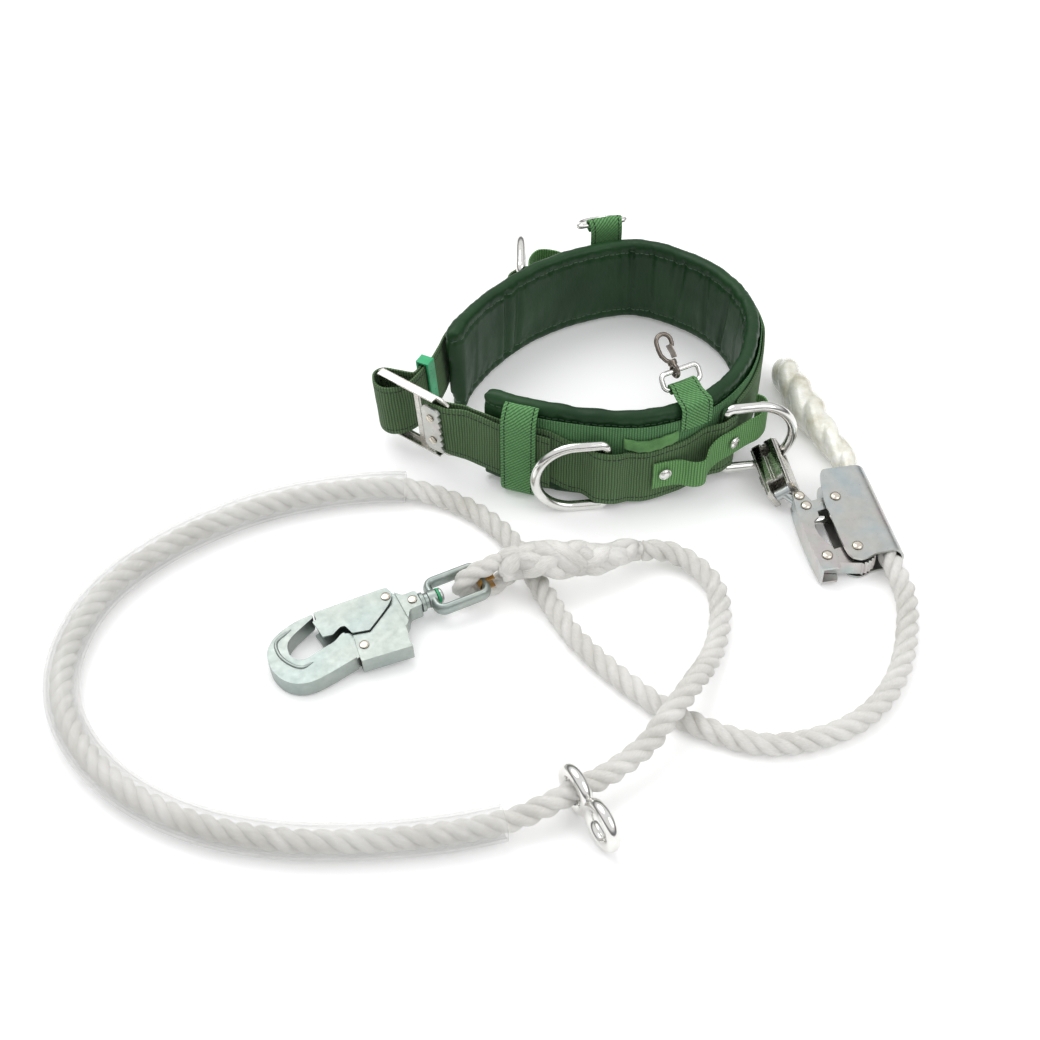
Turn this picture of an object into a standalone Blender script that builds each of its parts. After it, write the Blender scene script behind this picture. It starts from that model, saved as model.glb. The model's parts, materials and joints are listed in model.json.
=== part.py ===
"""A pole and tree climber's work-positioning saddle: a padded waist belt with D-rings, and its rope
lanyard with a grip-type length adjuster, a sliding figure-8 ring and a large swivel snap hook.

Units are metres, +Z is up. X runs to the right and Y away from the belt's near side. The origin is
under the centre of the saddle and its hardware, on the surface that everything stands on.
"""

import math

import bmesh
import bpy
from mathutils import Matrix, Vector

# ------------------------------------------------------------------ driving dimensions
GAP = 0.0003  # left between pieces that touch
PAD_HEIGHT = 0.088
PAD_THICK = 0.013
BELT_WIDTH = 0.050
BELT_THICK = 0.002
TAPE_WIDTH = 0.026  # the light webbing of keepers, tabs and tool straps
TAPE_THICK = 0.0016
LEAN = 0.13  # how far the far wall and the buckle tip towards the near side, per unit of height
BUCKLE_LEAN = (-0.063, -0.081)  # the same lean, square to the buckle's own length

RING_ROD = 0.004  # radius of the large D-rings' rod
RING_LEG = 0.0234  # straight part of a large D-ring, from bar to bow
RING_BOW = 0.0302  # radius of the bow, to the middle of the rod
TAB_ROD = 0.002
NEAR_RING_DEEP = 0.0122  # of the small rectangular ring that carries the clip

ROPE = 0.016  # diameter
SLEEVE_OUT = 0.0125
SLEEVE_IN = 0.0105

# Taken off every place at the end, so that the origin is under the middle of the belt, grip and hook.
MIDDLE = Vector((0.00064, -0.00549, 0.0))

# The pad's outer face, seen from above, from its near end round the back to its far end.
PAD_FACE = [
    (-0.081, -0.010),
    (-0.061, -0.020),
    (-0.028, -0.030),
    (0.009, -0.037),
    (0.042, -0.037),
    (0.073, -0.026),
    (0.099, -0.008),
    (0.122, 0.024),
    (0.134, 0.060),
    (0.137, 0.100),
    (0.125, 0.144),
    (0.095, 0.179),
    (0.047, 0.202),
    (-0.003, 0.191),
    (-0.048, 0.164),
    (-0.081, 0.128),
    (-0.102, 0.092),
    (-0.109, 0.068),
]

# Distances along that face, from its near end.
KEEPER_AT = 0.033
FRONT_RING_AT = 0.098
TAB_NEAR_AT = 0.166
HIP_RING_AT = 0.192
TAB_FAR_AT = 0.484
FAR_RING_AT = 0.561
TAIL_END_AT = 0.056

# Height of the main belt's lower edge at distances along the face.
BELT_LOW = [
    (-0.05, 0.021),
    (0.05, 0.019),
    (0.075, 0.011),
    (0.098, 0.0095),
    (0.125, 0.004),
    (0.15, 0.007),
    (0.192, 0.017),
    (0.25, 0.022),
    (0.80, 0.022),
]

# The rope's route from the grip's upper mouth, through the grip and the clear sleeve, through the
# figure-8 ring and over itself, to the eye splice. Every point is the middle of the rope.
ROUTE = [
    (0.2038, -0.0180, 0.0110),
    (0.2117, -0.0629, 0.0110),
    (0.2200, -0.1102, 0.0110),
    (0.2260, -0.1480, 0.0086),
    (0.2170, -0.1960, 0.0083),
    (0.2010, -0.2310, 0.0083),
    (0.1770, -0.2570, 0.0083),
    (0.1440, -0.2730, 0.0083),
    (0.1060, -0.2770, 0.0083),
    (0.0640, -0.2600, 0.0083),
    (0.0290, -0.2330, 0.0083),
    (-0.0110, -0.1880, 0.0083),
    (-0.0360, -0.1400, 0.0083),
    (-0.0560, -0.0940, 0.0083),
    (-0.0820, -0.0620, 0.0083),
    (-0.1130, -0.0420, 0.0088),
    (-0.1480, -0.0350, 0.0125),
    (-0.2000, -0.0410, 0.0130),
    (-0.2570, -0.0600, 0.0130),
    (-0.3120, -0.0960, 0.0130),
    (-0.3520, -0.1430, 0.0130),
    (-0.3680, -0.1950, 0.0130),
    (-0.3640, -0.2430, 0.0130),
    (-0.3410, -0.2860, 0.0130),
    (-0.3040, -0.3210, 0.0130),
    (-0.2560, -0.3450, 0.0130),
    (-0.2040, -0.3560, 0.0130),
    (-0.1540, -0.3570, 0.0130),
    (-0.1040, -0.3520, 0.0130),
    (-0.0640, -0.3430, 0.0132),
    (-0.0390, -0.3340, 0.0165),
    (-0.0170, -0.3220, 0.0190),
    (0.0060, -0.3080, 0.0185),
    (0.0300, -0.2880, 0.0215),
    (0.0430, -0.2710, 0.0252),
    (0.0550, -0.2540, 0.0264),
    (0.0660, -0.2350, 0.0240),
    (0.0760, -0.2140, 0.0150),
    (0.0850, -0.1900, 0.0095),
    (0.0910, -0.1590, 0.0083),
    (0.0880, -0.1330, 0.0086),
    (0.0740, -0.1130, 0.0100),
    (0.0560, -0.1040, 0.0130),
    (0.0370, -0.1060, 0.0165),
]
SLEEVE_FROM = (-0.1420, -0.0358)  # where the sleeve starts and ends on the route, from above
SLEEVE_TO = (-0.0640, -0.3430)
FIGURE8_AT = Vector((-0.0170, -0.3220, 0.0190))

EYE_SPLICE = [
    (0.0359, -0.1061, 0.0167, 0.0085),
    (0.0279, -0.1070, 0.0182, 0.0102),
    (0.0200, -0.1125, 0.0198, 0.0114),
    (0.0060, -0.1190, 0.0225, 0.0125),
    (-0.0130, -0.1260, 0.0275, 0.0138),
    (-0.0270, -0.1285, 0.0308, 0.0142),
    (-0.0400, -0.1290, 0.0318, 0.0142),
    (-0.0530, -0.1295, 0.0290, 0.0138),
    (-0.0650, -0.1310, 0.0235, 0.0130),
]
TAIL_SPLICE = [
    (0.2037, -0.0174, 0.0110, 0.0085),
    (0.2020, -0.0080, 0.0112, 0.0098),
    (0.1988, 0.0020, 0.0122, 0.0112),
    (0.1940, 0.0140, 0.0136, 0.0125),
    (0.1860, 0.0340, 0.0142, 0.0135),
    (0.1780, 0.0580, 0.0142, 0.0135),
    (0.1710, 0.0840, 0.0138, 0.0128),
    (0.1670, 0.1060, 0.0128, 0.0115),
    (0.1655, 0.1170, 0.0122, 0.0080),
]

# ------------------------------------------------------------------ places of the hardware
BUCKLE_CENTRE = Vector((-0.1305, 0.0180, 0.0460))
BUCKLE_ANGLE = math.radians(-37.8)  # from +X to the buckle's length, seen from above
BUCKLE_HALF_HEIGHT = 0.031
BUCKLE_WINDOW = 0.0263  # half height of its windows

GRIP_CENTRE = Vector((0.194, -0.066, 0.0))
GRIP_ANGLE = math.radians(-80.0)
GRIP_LOW = 0.0006  # underside of the grip's housing
GRIP_HIGH = 0.0214
GRIP_PLATE = 0.0018
ROPE_LANE = 0.018  # sideways from the grip's centre to the rope
ROPE_HEIGHT = 0.011
ARM_NECK_PIVOT = (-0.0210, -0.0318)
ARM_PIVOTS = [(-0.0098, -0.0298), (0.0430, -0.0298)]
HOUSING_PIVOTS = [(-0.0132, -0.0060), (0.0396, -0.0060)]

HOOK_CENTRE = Vector((-0.178, -0.193, 0.0101))
HOOK_ANGLE = math.radians(25.0)
HOOK_TILT = math.radians(3.4)  # nose on the floor, swivel end up on the spliced eye
SWIVEL_SIDE = 0.011  # sideways from the hook's centre to its swivel axis
EYE_BAR = 0.1125  # from the hook's centre to the bar that the rope loops round

FIGURE8_AXIS = Vector((0.865, 0.500, 0.0)).normalized()  # along the rope
FIGURE8_LONG = Vector((0.499, -0.866, 0.0)).normalized()


# ------------------------------------------------------------------ helpers
def clear_scene():
    for obj in list(bpy.data.objects):
        bpy.data.objects.remove(obj, do_unlink=True)


def material(name, colour, roughness, metallic=0.0):
    found = bpy.data.materials.get(name)
    if found:
        return found
    made = bpy.data.materials.new(name)
    made.use_nodes = True
    shader = made.node_tree.nodes["Principled BSDF"]
    shader.inputs["Base Color"].default_value = (*colour, 1.0)
    shader.inputs["Roughness"].default_value = roughness
    shader.inputs["Metallic"].default_value = metallic
    return made


def vinyl():
    return material("pad_vinyl", (0.030, 0.085, 0.040), 0.45)


def olive_web():
    return material("belt_webbing", (0.050, 0.110, 0.050), 0.75)


def green_web():
    return material("light_webbing", (0.035, 0.210, 0.070), 0.70)


def zinc():
    return material("zinc_plate", (0.62, 0.65, 0.63), 0.38, 1.0)


def chrome():
    return material("polished_steel", (0.80, 0.80, 0.78), 0.12, 1.0)


def nylon():
    return material("white_nylon", (0.85, 0.84, 0.80), 0.60)


def lay_out(name, mesh_or_curve, finish, place=None):
    obj = bpy.data.objects.new(name, mesh_or_curve)
    bpy.context.scene.collection.objects.link(obj)
    obj.data.materials.append(finish)
    if place is not None:
        obj.matrix_world = place
    return obj


def node(name, shape, finish, place=None, sharp=40.0):
    """One named sub-part from a bmesh, its faces turned outwards and shaded smooth."""
    bmesh.ops.recalc_face_normals(shape, faces=shape.faces)
    mesh = bpy.data.meshes.new(name)
    shape.to_mesh(mesh)
    shape.free()
    mesh.shade_smooth()
    mesh.set_sharp_from_angle(angle=math.radians(sharp))
    return lay_out(name, mesh, finish, place)


def cut(obj, shape, operation="DIFFERENCE"):
    """Cuts, joins or trims a sub-part with a shape given in its own space."""
    bmesh.ops.recalc_face_normals(shape, faces=shape.faces)
    mesh = bpy.data.meshes.new(obj.name + "_tool")
    shape.to_mesh(mesh)
    shape.free()
    tool = bpy.data.objects.new(obj.name + "_tool", mesh)
    bpy.context.scene.collection.objects.link(tool)
    tool.matrix_world = obj.matrix_world
    tool.hide_render = True
    tool.display_type = "WIRE"
    step = obj.modifiers.new(operation.lower(), "BOOLEAN")
    step.operation = operation
    step.solver = "EXACT"
    step.object = tool


def placed(origin, along, up):
    """A frame at origin with X along one direction and Z as near up as it allows."""
    x_axis = Vector(along).normalized()
    y_axis = Vector(up).cross(x_axis).normalized()
    z_axis = x_axis.cross(y_axis)
    turn = Matrix((x_axis, y_axis, z_axis)).transposed()
    return Matrix.Translation(origin) @ turn.to_4x4()


def resampled(points, step):
    """Points evenly spaced along a polyline, about step apart."""
    along = [0.0]
    for before, after in zip(points, points[1:]):
        along.append(along[-1] + (after - before).length)
    count = max(2, round(along[-1] / step) + 1)
    found = []
    k = 0
    for i in range(count):
        target = along[-1] * i / (count - 1)
        while k < len(along) - 2 and along[k + 1] < target:
            k += 1
        share = (target - along[k]) / max(along[k + 1] - along[k], 1e-12)
        found.append(points[k].lerp(points[k + 1], share))
    return found


def smooth_line(points, step):
    """A smooth curve through hand-picked points, with points about step apart on it."""
    knots = [Vector(p) for p in points]
    knots = [knots[0] * 2 - knots[1]] + knots + [knots[-1] * 2 - knots[-2]]
    fine = []
    for p0, p1, p2, p3 in zip(knots, knots[1:], knots[2:], knots[3:]):
        for i in range(12):
            t = i / 12
            straight = p1 * 2 + (p2 - p0) * t
            bent = (p0 * 2 - p1 * 5 + p2 * 4 - p3) * t**2 + (p1 * 3 - p0 - p2 * 3 + p3) * t**3
            fine.append((straight + bent) / 2)
    fine.append(knots[-2])
    return resampled(fine, step)


def skin(rings, closed=False):
    """A closed surface through rings of points, capped at both ends unless it closes on itself."""
    shape = bmesh.new()
    made = [[shape.verts.new(p) for p in ring] for ring in rings]
    pairs = list(zip(made, made[1:]))
    if closed:
        pairs.append((made[-1], made[0]))
    for first, second in pairs:
        for i in range(len(first)):
            j = (i + 1) % len(first)
            shape.faces.new((first[i], first[j], second[j], second[i]))
    if not closed:
        shape.faces.new(made[0])
        shape.faces.new(reversed(made[-1]))
    return shape


def prism(outline, low, high):
    """An outline in X and Y carried from one height to another."""
    return skin([[Vector((x, y, z)) for x, y in outline] for z in (low, high)])


def box(low, high):
    corners = [(low[0], low[1]), (high[0], low[1]), (high[0], high[1]), (low[0], high[1])]
    return prism(corners, low[2], high[2])


def circle(centre, radius, sides):
    turn = [2 * math.pi * (i + 0.5) / sides for i in range(sides)]
    return [(centre[0] + radius * math.cos(a), centre[1] + radius * math.sin(a)) for a in turn]


def arc(centre, radius, start, end, count):
    """Points on an arc, angles in degrees."""
    turn = [math.radians(start + (end - start) * i / (count - 1)) for i in range(count)]
    return [(centre[0] + radius * math.cos(a), centre[1] + radius * math.sin(a)) for a in turn]


def turned(profile, sides=12, axis="Z"):
    """A profile of (radius, distance) turned about an axis through the origin."""
    rings = []
    for radius, along in profile:
        ring = []
        for x, y in circle((0, 0), radius, sides):
            ring.append(Vector((x, y, along)) if axis == "Z" else Vector((along, x, y)))
        rings.append(ring)
    return skin(rings)


def tube(path, radii, sides=8, closed=False):
    """A round rod along a path; radii is one radius or one for each point."""
    path = [Vector(p) for p in path]
    if not hasattr(radii, "__len__"):
        radii = [radii] * len(path)
    last = len(path) - 1
    rings = []
    side = None
    for i, p in enumerate(path):
        ahead = path[(i + 1) % len(path)] if closed else path[min(i + 1, last)]
        behind = path[i - 1] if closed or i else path[0]
        along = (ahead - behind).normalized()
        if side is None:
            helper = Vector((0, 0, 1)) if abs(along.z) < 0.9 else Vector((1, 0, 0))
            side = along.cross(helper)
        side = (side - along * side.dot(along)).normalized()
        up = along.cross(side)
        rings.append([p + (side * x + up * y) for x, y in circle((0, 0), radii[i], sides)])
    return skin(rings, closed)


def thickened(line, thick):
    """The closed outline of a folded strip: a polyline in two dimensions, given a thickness."""
    points = [Vector((*p, 0.0)) for p in line]
    left, right = [], []
    for i, p in enumerate(points):
        into = (p - points[i - 1]).normalized() if i else None
        out = (points[i + 1] - p).normalized() if i < len(points) - 1 else None
        into, out = into or out, out or into
        half = (into + out).normalized()
        normal = Vector((-half.y, half.x, 0.0))
        reach = thick / 2 / max(0.5, half.dot(into))
        left.append(p + normal * reach)
        right.append(p - normal * reach)
    return [(p.x, p.y) for p in left + right[::-1]]


# ------------------------------------------------------------------ the pad's face as a ruler
FACE = smooth_line([(x, y, 0.0) for x, y in PAD_FACE], 0.004)
FACE_STEP = sum((b - a).length for a, b in zip(FACE, FACE[1:])) / (len(FACE) - 1)
FACE_LENGTH = FACE_STEP * (len(FACE) - 1)


def face_point(distance):
    k = min(max(int(distance / FACE_STEP), 0), len(FACE) - 2)
    return FACE[k].lerp(FACE[k + 1], distance / FACE_STEP - k)


def face_frame(distance):
    """The point at a distance along the face, its direction, and its outward normal."""
    inside = min(max(distance, 0.005), FACE_LENGTH - 0.005)
    along = (face_point(inside + 0.005) - face_point(inside - 0.005)).normalized()
    return face_point(distance), along, Vector((along.y, -along.x, 0.0))


def on_face(distance, out, height=0.0):
    point, _, normal = face_frame(distance)
    return point + normal * out + Vector((0.0, 0.0, height))


def ease(value, low, high):
    t = min(max((value - low) / (high - low), 0.0), 1.0)
    return t * t * (3 - 2 * t)


def settled(point):
    """The far wall and the buckle end lean: their tops tip towards the near side."""
    far = ease(point.y, 0.060, 0.150)
    near = (1 - far) * ease(-point.x, 0.092, 0.108)
    x = point.x + BUCKLE_LEAN[0] * near * point.z
    y = point.y + (BUCKLE_LEAN[1] * near - LEAN * far) * point.z
    return Vector((x, y, point.z))


def belt_low(distance):
    for (a, low_a), (b, low_b) in zip(BELT_LOW, BELT_LOW[1:]):
        if distance <= b:
            return low_a + (low_b - low_a) * ease(distance, a, b)
    return BELT_LOW[-1][1]


def wall_strip(line, thick):
    """Upright webbing along a line of (x, y, low, high), with its faces square to the line."""
    rings = []
    last = len(line) - 1
    for i, (x, y, low, high) in enumerate(line):
        ahead = line[min(i + 1, last)]
        behind = line[max(i - 1, 0)]
        along = Vector((ahead[0] - behind[0], ahead[1] - behind[1], 0.0)).normalized()
        normal = Vector((along.y, -along.x, 0.0)) * (thick / 2)
        centre = Vector((x, y, 0.0))
        corners = [
            centre + normal + Vector((0, 0, low)),
            centre + normal + Vector((0, 0, high)),
            centre - normal + Vector((0, 0, high)),
            centre - normal + Vector((0, 0, low)),
        ]
        rings.append([settled(p) for p in corners])
    return skin(rings)


def face_sweep(profile, start, end, step=0.010):
    """A profile of (out, height) carried along the pad's face from one distance to another."""
    count = max(2, round((end - start) / step) + 1)
    rings = []
    for i in range(count):
        distance = start + (end - start) * i / (count - 1)
        rings.append([settled(on_face(distance, out, height)) for out, height in profile])
    return skin(rings)


# ------------------------------------------------------------------ soft parts of the belt
def make_pad():
    edge = 0.004
    high = PAD_HEIGHT
    profile = arc((-edge, edge), edge, -90, 0, 3)
    profile += arc((-edge, high - edge), edge, 0, 90, 3)
    profile += arc((edge - PAD_THICK, high - edge), edge, 90, 180, 3)
    profile += arc((edge - PAD_THICK, edge), edge, 180, 270, 3)
    node("back_pad", face_sweep(profile, 0.0, FACE_LENGTH, 0.012), vinyl())


def make_pad_webbing():
    low, high = 0.027, 0.077
    inner, outer = 2 * GAP, 2 * GAP + TAPE_THICK - 0.0003
    profile = [(inner, low), (outer, low), (outer, high), (inner, high)]
    node("pad_webbing", face_sweep(profile, 0.020, FACE_LENGTH - 0.020, 0.012), green_web())


def ring_bulge(distance):
    """How much further out the main belt runs where it passes over a D-ring's bar."""
    total = 0.0
    for place in (FRONT_RING_AT, HIP_RING_AT, FAR_RING_AT):
        total += 0.0082 * (1 - ease(abs(distance - place), 0.004, 0.020))
    return total


def buckle_point(length, out):
    """A point in the buckle's own plan: along its length, and out of its front."""
    along = Vector((math.cos(BUCKLE_ANGLE), math.sin(BUCKLE_ANGLE), 0.0))
    front = Vector((along.y, -along.x, 0.0))
    return Vector((BUCKLE_CENTRE.x, BUCKLE_CENTRE.y, 0.0)) + along * length + front * out


def belt_route():
    """The one length of belt webbing: its free tail, round the buckle's clamp bar, round the
    waist over the D-rings' bars, and round the buckle's left bar to where it is sewn down."""
    tail = [on_face(TAIL_END_AT - 0.008 * i, 0.0080) for i in range(8)]
    bar = 0.022
    turn = [(bar + 0.003, 0.0036), (bar - 0.0022, 0.0036), (bar - 0.0044, 0.0012)]
    turn += [(length, -out) for length, out in reversed(turn)]
    round_bar = [buckle_point(length, out) for length, out in turn]
    inner = [on_face(-0.010, 0.0040)]
    count = round(FACE_LENGTH / 0.006)
    waist = []
    for i in range(count + 1):
        distance = FACE_LENGTH * i / count
        waist.append(on_face(distance, 0.0036 + ring_bulge(distance)))
    far = [
        Vector((-0.1165, 0.0580, 0.0)),
        Vector((-0.1215, 0.0480, 0.0)),
        Vector((-0.1265, 0.0380, 0.0)),
        buckle_point(-0.0080, -0.0060),
        buckle_point(-0.0110, 0.0050),
        buckle_point(-0.0190, 0.0125),
        buckle_point(-0.0290, 0.0115),
        buckle_point(-0.0365, 0.0035),
        buckle_point(-0.0350, -0.0050),
        buckle_point(-0.0250, -0.0100),
        Vector((-0.1330, 0.0380, 0.0)),
        Vector((-0.1292, 0.0393, 0.0)),
        Vector((-0.1242, 0.0493, 0.0)),
        Vector((-0.1202, 0.0573, 0.0)),
    ]
    places = tail + round_bar + inner + waist + far
    lows = [belt_low(TAIL_END_AT - 0.008 * i) - 0.0005 * (7 - i) for i in range(8)]
    lows += [0.021] * (len(round_bar) + 1)
    lows += [belt_low(FACE_LENGTH * i / count) for i in range(count + 1)]
    lows += [0.021] * len(far)
    return [Vector((p.x, p.y, low)) for p, low in zip(places, lows)]


def thinned(points, bend, reach):
    """Fewer points on a smooth line: one after every bend in degrees, or after a distance."""
    kept = [points[0]]
    last = points[1] - points[0]
    for before, here, after in zip(points, points[1:], points[2:]):
        step = after - here
        far = (here - kept[-1]).length > reach
        if far or math.degrees(last.angle(step)) > bend:
            kept.append(here)
            last = step
    return kept + [points[-1]]


def make_main_belt():
    fine = thinned(smooth_line(belt_route(), 0.0011), 17.0, 0.011)
    line = [(p.x, p.y, p.z, p.z + BELT_WIDTH) for p in fine]
    node("main_belt", wall_strip(line, BELT_THICK), olive_web())


def make_keeper():
    line = [
        (GAP + 0.0009, 0.0862),
        (0.0050, 0.0858),
        (0.0112, 0.0770),
        (0.0112, 0.0090),
        (0.0050, 0.0014),
        (GAP + 0.0009, 0.0010),
    ]
    half = TAPE_WIDTH / 2
    profile = thickened(line, TAPE_THICK)
    shape = face_sweep(profile, KEEPER_AT - half, KEEPER_AT + half, 0.006)
    node("keeper_loop", shape, green_web())


def make_ring_strap():
    """A soft strip that holds the rings' place, showing above the belt between front and hip."""
    start, end = 0.110, 0.151
    rings = []
    count = 6
    for i in range(count + 1):
        distance = start + (end - start) * i / count
        low = belt_low(distance) + BELT_WIDTH + 0.0007
        swell = 0.003 * math.sin(math.pi * i / count)
        inner, outer = 0.0023, 0.0042 + swell
        profile = [(inner, low), (outer, low + 0.002), (outer, low + 0.009), (inner, low + 0.012)]
        rings.append([on_face(distance, out, height) for out, height in profile])
    node("ring_strap", skin(rings), green_web())


def tool_strap(name, stops):
    """A wavy strap outside the belt, through stops of (distance, out, low)."""
    places = [on_face(distance, out, low) for distance, out, low in stops]
    line = [(p.x, p.y, p.z, p.z + 0.025) for p in smooth_line(places, 0.006)]
    node(name, wall_strip(line, TAPE_THICK), green_web())


def make_tool_straps():
    tool_strap(
        "tool_strap_near",
        [
            (0.1320, 0.0070, 0.019),
            (0.1420, 0.0068, 0.019),
            (0.1540, 0.0110, 0.019),
            (0.1660, 0.0160, 0.022),
            (0.1800, 0.0150, 0.028),
            (0.1920, 0.0150, 0.033),
            (0.2050, 0.0180, 0.034),
            (0.2150, 0.0215, 0.034),
            (0.2260, 0.0210, 0.034),
            (0.2320, 0.0155, 0.034),
            (0.2330, 0.0090, 0.034),
        ],
    )
    tool_strap(
        "tool_strap_far",
        [
            (0.4960, 0.0070, 0.034),
            (0.5080, 0.0130, 0.035),
            (0.5160, 0.0260, 0.037),
            (0.5280, 0.0340, 0.038),
            (0.5400, 0.0260, 0.037),
            (0.5430, 0.0130, 0.035),
        ],
    )


def make_strap_rivets():
    """The press studs of the near tool strap, one solid each."""
    for name, distance, out, height in (
        ("strap_stud_front", 0.1400, 0.0090, 0.034),
        ("strap_stud_hip", 0.1915, 0.0166, 0.046),
    ):
        _, _, normal = face_frame(distance)
        profile = [(0.0048, 0.0), (0.0048, 0.0008), (0.0036, 0.0020), (0.0016, 0.0026)]
        place = placed(on_face(distance, out, height), normal, (0, 0, 1))
        node(name, turned(profile, 12, "X"), chrome(), place)


def make_tabs():
    near = [
        (0.0031, 0.0680),
        (0.0031, 0.0860),
        (0.0010, 0.0892),
        (-0.0100, 0.0906),
        (-0.0150, 0.0945),
        (-0.0185, 0.0955),
        (-0.0214, 0.0936),
        (-0.0216, 0.0905),
        (-0.0192, 0.0885),
        (-0.0160, 0.0890),
    ]
    half = TAPE_WIDTH / 2
    profile = thickened(near, TAPE_THICK)
    node("tab_near", face_sweep(profile, TAB_NEAR_AT - half, TAB_NEAR_AT + half, 0.0087), green_web())
    far = [
        (0.0031, 0.0735),
        (0.0031, 0.0900),
        (0.0042, 0.0965),
        (0.0074, 0.1005),
        (0.0114, 0.1010),
        (0.0142, 0.0980),
        (0.0142, 0.0938),
        (0.0112, 0.0910),
        (0.0078, 0.0912),
    ]
    profile = thickened(far, TAPE_THICK)
    node("tab_far", face_sweep(profile, TAB_FAR_AT - half, TAB_FAR_AT + half, 0.0087), green_web())


def make_slide_keeper():
    """The moulded slide that gathers the far belt just past the pad's end."""
    at = Vector((-0.1223, 0.0498, 0.0))
    along = Vector((-0.447, -0.894, 0.0)).normalized()
    out = Vector((along.y, -along.x, 0.0))
    outer = thickened([(-0.0055, 0.0), (0.0055, 0.0)], 0.057)
    inner = thickened([(-0.0034, 0.0), (0.0034, 0.0)], 0.053)
    place = Matrix.Translation(at + Vector((0, 0, 0.046)))
    rings = []
    for outline in (outer, inner):
        for end in (-0.005, 0.005):
            ring = []
            for across, height in outline:
                p = at + along * end + out * across + Vector((0, 0, height + 0.046))
                ring.append(place.inverted() @ settled(p))
            rings.append(ring)
    shape = skin([rings[0], rings[1], rings[3], rings[2]], closed=True)
    green = material("green_plastic", (0.030, 0.400, 0.160), 0.40)
    node("slide_keeper", shape, green, place)


# ------------------------------------------------------------------ buckle
def buckle_place():
    """The buckle's frame: X along its length, Y out of its back, Z up its leaning height."""
    along = Vector((math.cos(BUCKLE_ANGLE), math.sin(BUCKLE_ANGLE), 0.0))
    up = Vector((0.0, -LEAN, 1.0))
    up = (up - along * up.dot(along)).normalized()
    back = up.cross(along)
    turn = Matrix((along, back, up)).transposed()
    centre = settled(BUCKLE_CENTRE)
    return Matrix.Translation(centre) @ turn.to_4x4()


def upright(outline, front, back):
    """An outline in the buckle's length and height, carried from front to back."""
    return skin([[Vector((x, -out, z)) for x, z in outline] for out in (front, back)])


def make_buckle():
    place = buckle_place()
    high = BUCKLE_HALF_HEIGHT
    window = BUCKLE_WINDOW
    plate = [(-0.0340, -high + 0.004), (-0.0300, -high), (0.0290, -high), (0.0350, -high + 0.003)]
    plate += [(0.0380, -high + 0.007), (0.0350, -window + 0.001), (0.0350, window - 0.001)]
    plate += [(0.0380, high - 0.007), (0.0350, high - 0.003), (0.0290, high)]
    plate += [(-0.0300, high), (-0.0340, high - 0.004)]
    frame = node("buckle_frame", upright(plate, 0.0012, -0.0012), zinc(), place)
    left = [(-0.0280, -window), (0.0010, -window), (0.0010, window), (-0.0280, window)]
    cut(frame, upright(left, 0.01, -0.01))
    middle = [(0.0060, -window), (0.0195, -window), (0.0195, window), (0.0060, window)]
    cut(frame, upright(middle, 0.01, -0.01))
    right = [(0.0245, -window), (0.0420, -window), (0.0420, window), (0.0245, window)]
    cut(frame, upright(right, 0.01, -0.01))
    for side in (1, -1):
        rim = [(-0.0300, side * (high - 0.0016)), (0.0250, side * (high - 0.0016))]
        rim += [(0.0250, side * high), (-0.0300, side * high)]
        cut(frame, upright(rim[::side], 0.0062, 0.0002), "UNION")
    make_clamp_bar(place)


def make_clamp_bar(place):
    teeth = []
    count = 7
    half = 0.0235
    for i in range(count):
        low = -half + 2 * half * i / count
        teeth.append((0.0290, low + 0.0006))
        teeth.append((0.0312, low + half / count))
        teeth.append((0.0290, low + 2 * half / count - 0.0006))
    outline = [(0.0130, half - 0.004), (0.0130, -half + 0.004), (0.0165, -half)] + teeth
    outline.append((0.0165, half))
    node("buckle_clamp", upright(outline, 0.0072, 0.0050), zinc(), place)
    profile = [(0.0034, 0.0), (0.0034, 0.0006), (0.0026, 0.0015), (0.0010, 0.0019)]
    for name, height in (("clamp_rivet_upper", 0.012), ("clamp_rivet_lower", -0.012)):
        spot = place @ Matrix.Translation((0.0215, -0.0075, height))
        node(name, turned(profile, 12), zinc(), spot @ Matrix.Rotation(math.pi / 2, 4, "X"))


# ------------------------------------------------------------------ D-rings
def d_path(leg, bow, corner, count):
    """The middle line of a D-ring: bar on the Z axis, bow towards +X."""
    path = [(0.0, 0.0)]
    path += arc((corner, corner - bow), corner, 180, 270, 3)
    path += arc((leg, 0.0), bow, -90, 90, count)
    path += arc((corner, bow - corner), corner, 90, 180, 3)
    return [Vector((x, 0.0, z)) for x, z in path]


def large_ring(name, distance, direction, centre_height, lean=0.0):
    bar = on_face(distance, 0.0065, centre_height)
    if lean:
        bar = settled(bar)
    up = Vector((0.0, -lean, 1.0)).normalized()
    place = placed(bar, direction, up)
    node(name, tube(d_path(RING_LEG, RING_BOW, 0.005, 15), RING_ROD, 8, True), chrome(), place)


def hip_direction():
    return Vector((0.990, 0.141, 0.0))


def ring_height(distance):
    """The middle of a D-ring whose lower leg passes just under the belt."""
    return belt_low(distance) + BELT_WIDTH / 2


def make_large_rings():
    front = Vector((-0.993, -0.118, 0.0))
    large_ring("dring_front", FRONT_RING_AT, front, ring_height(FRONT_RING_AT))
    large_ring("dring_hip", HIP_RING_AT, hip_direction(), ring_height(HIP_RING_AT))
    back = Vector((0.0, 1.0, LEAN))
    large_ring("dring_far", FAR_RING_AT, back, ring_height(FAR_RING_AT) - 0.0006, LEAN)


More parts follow.
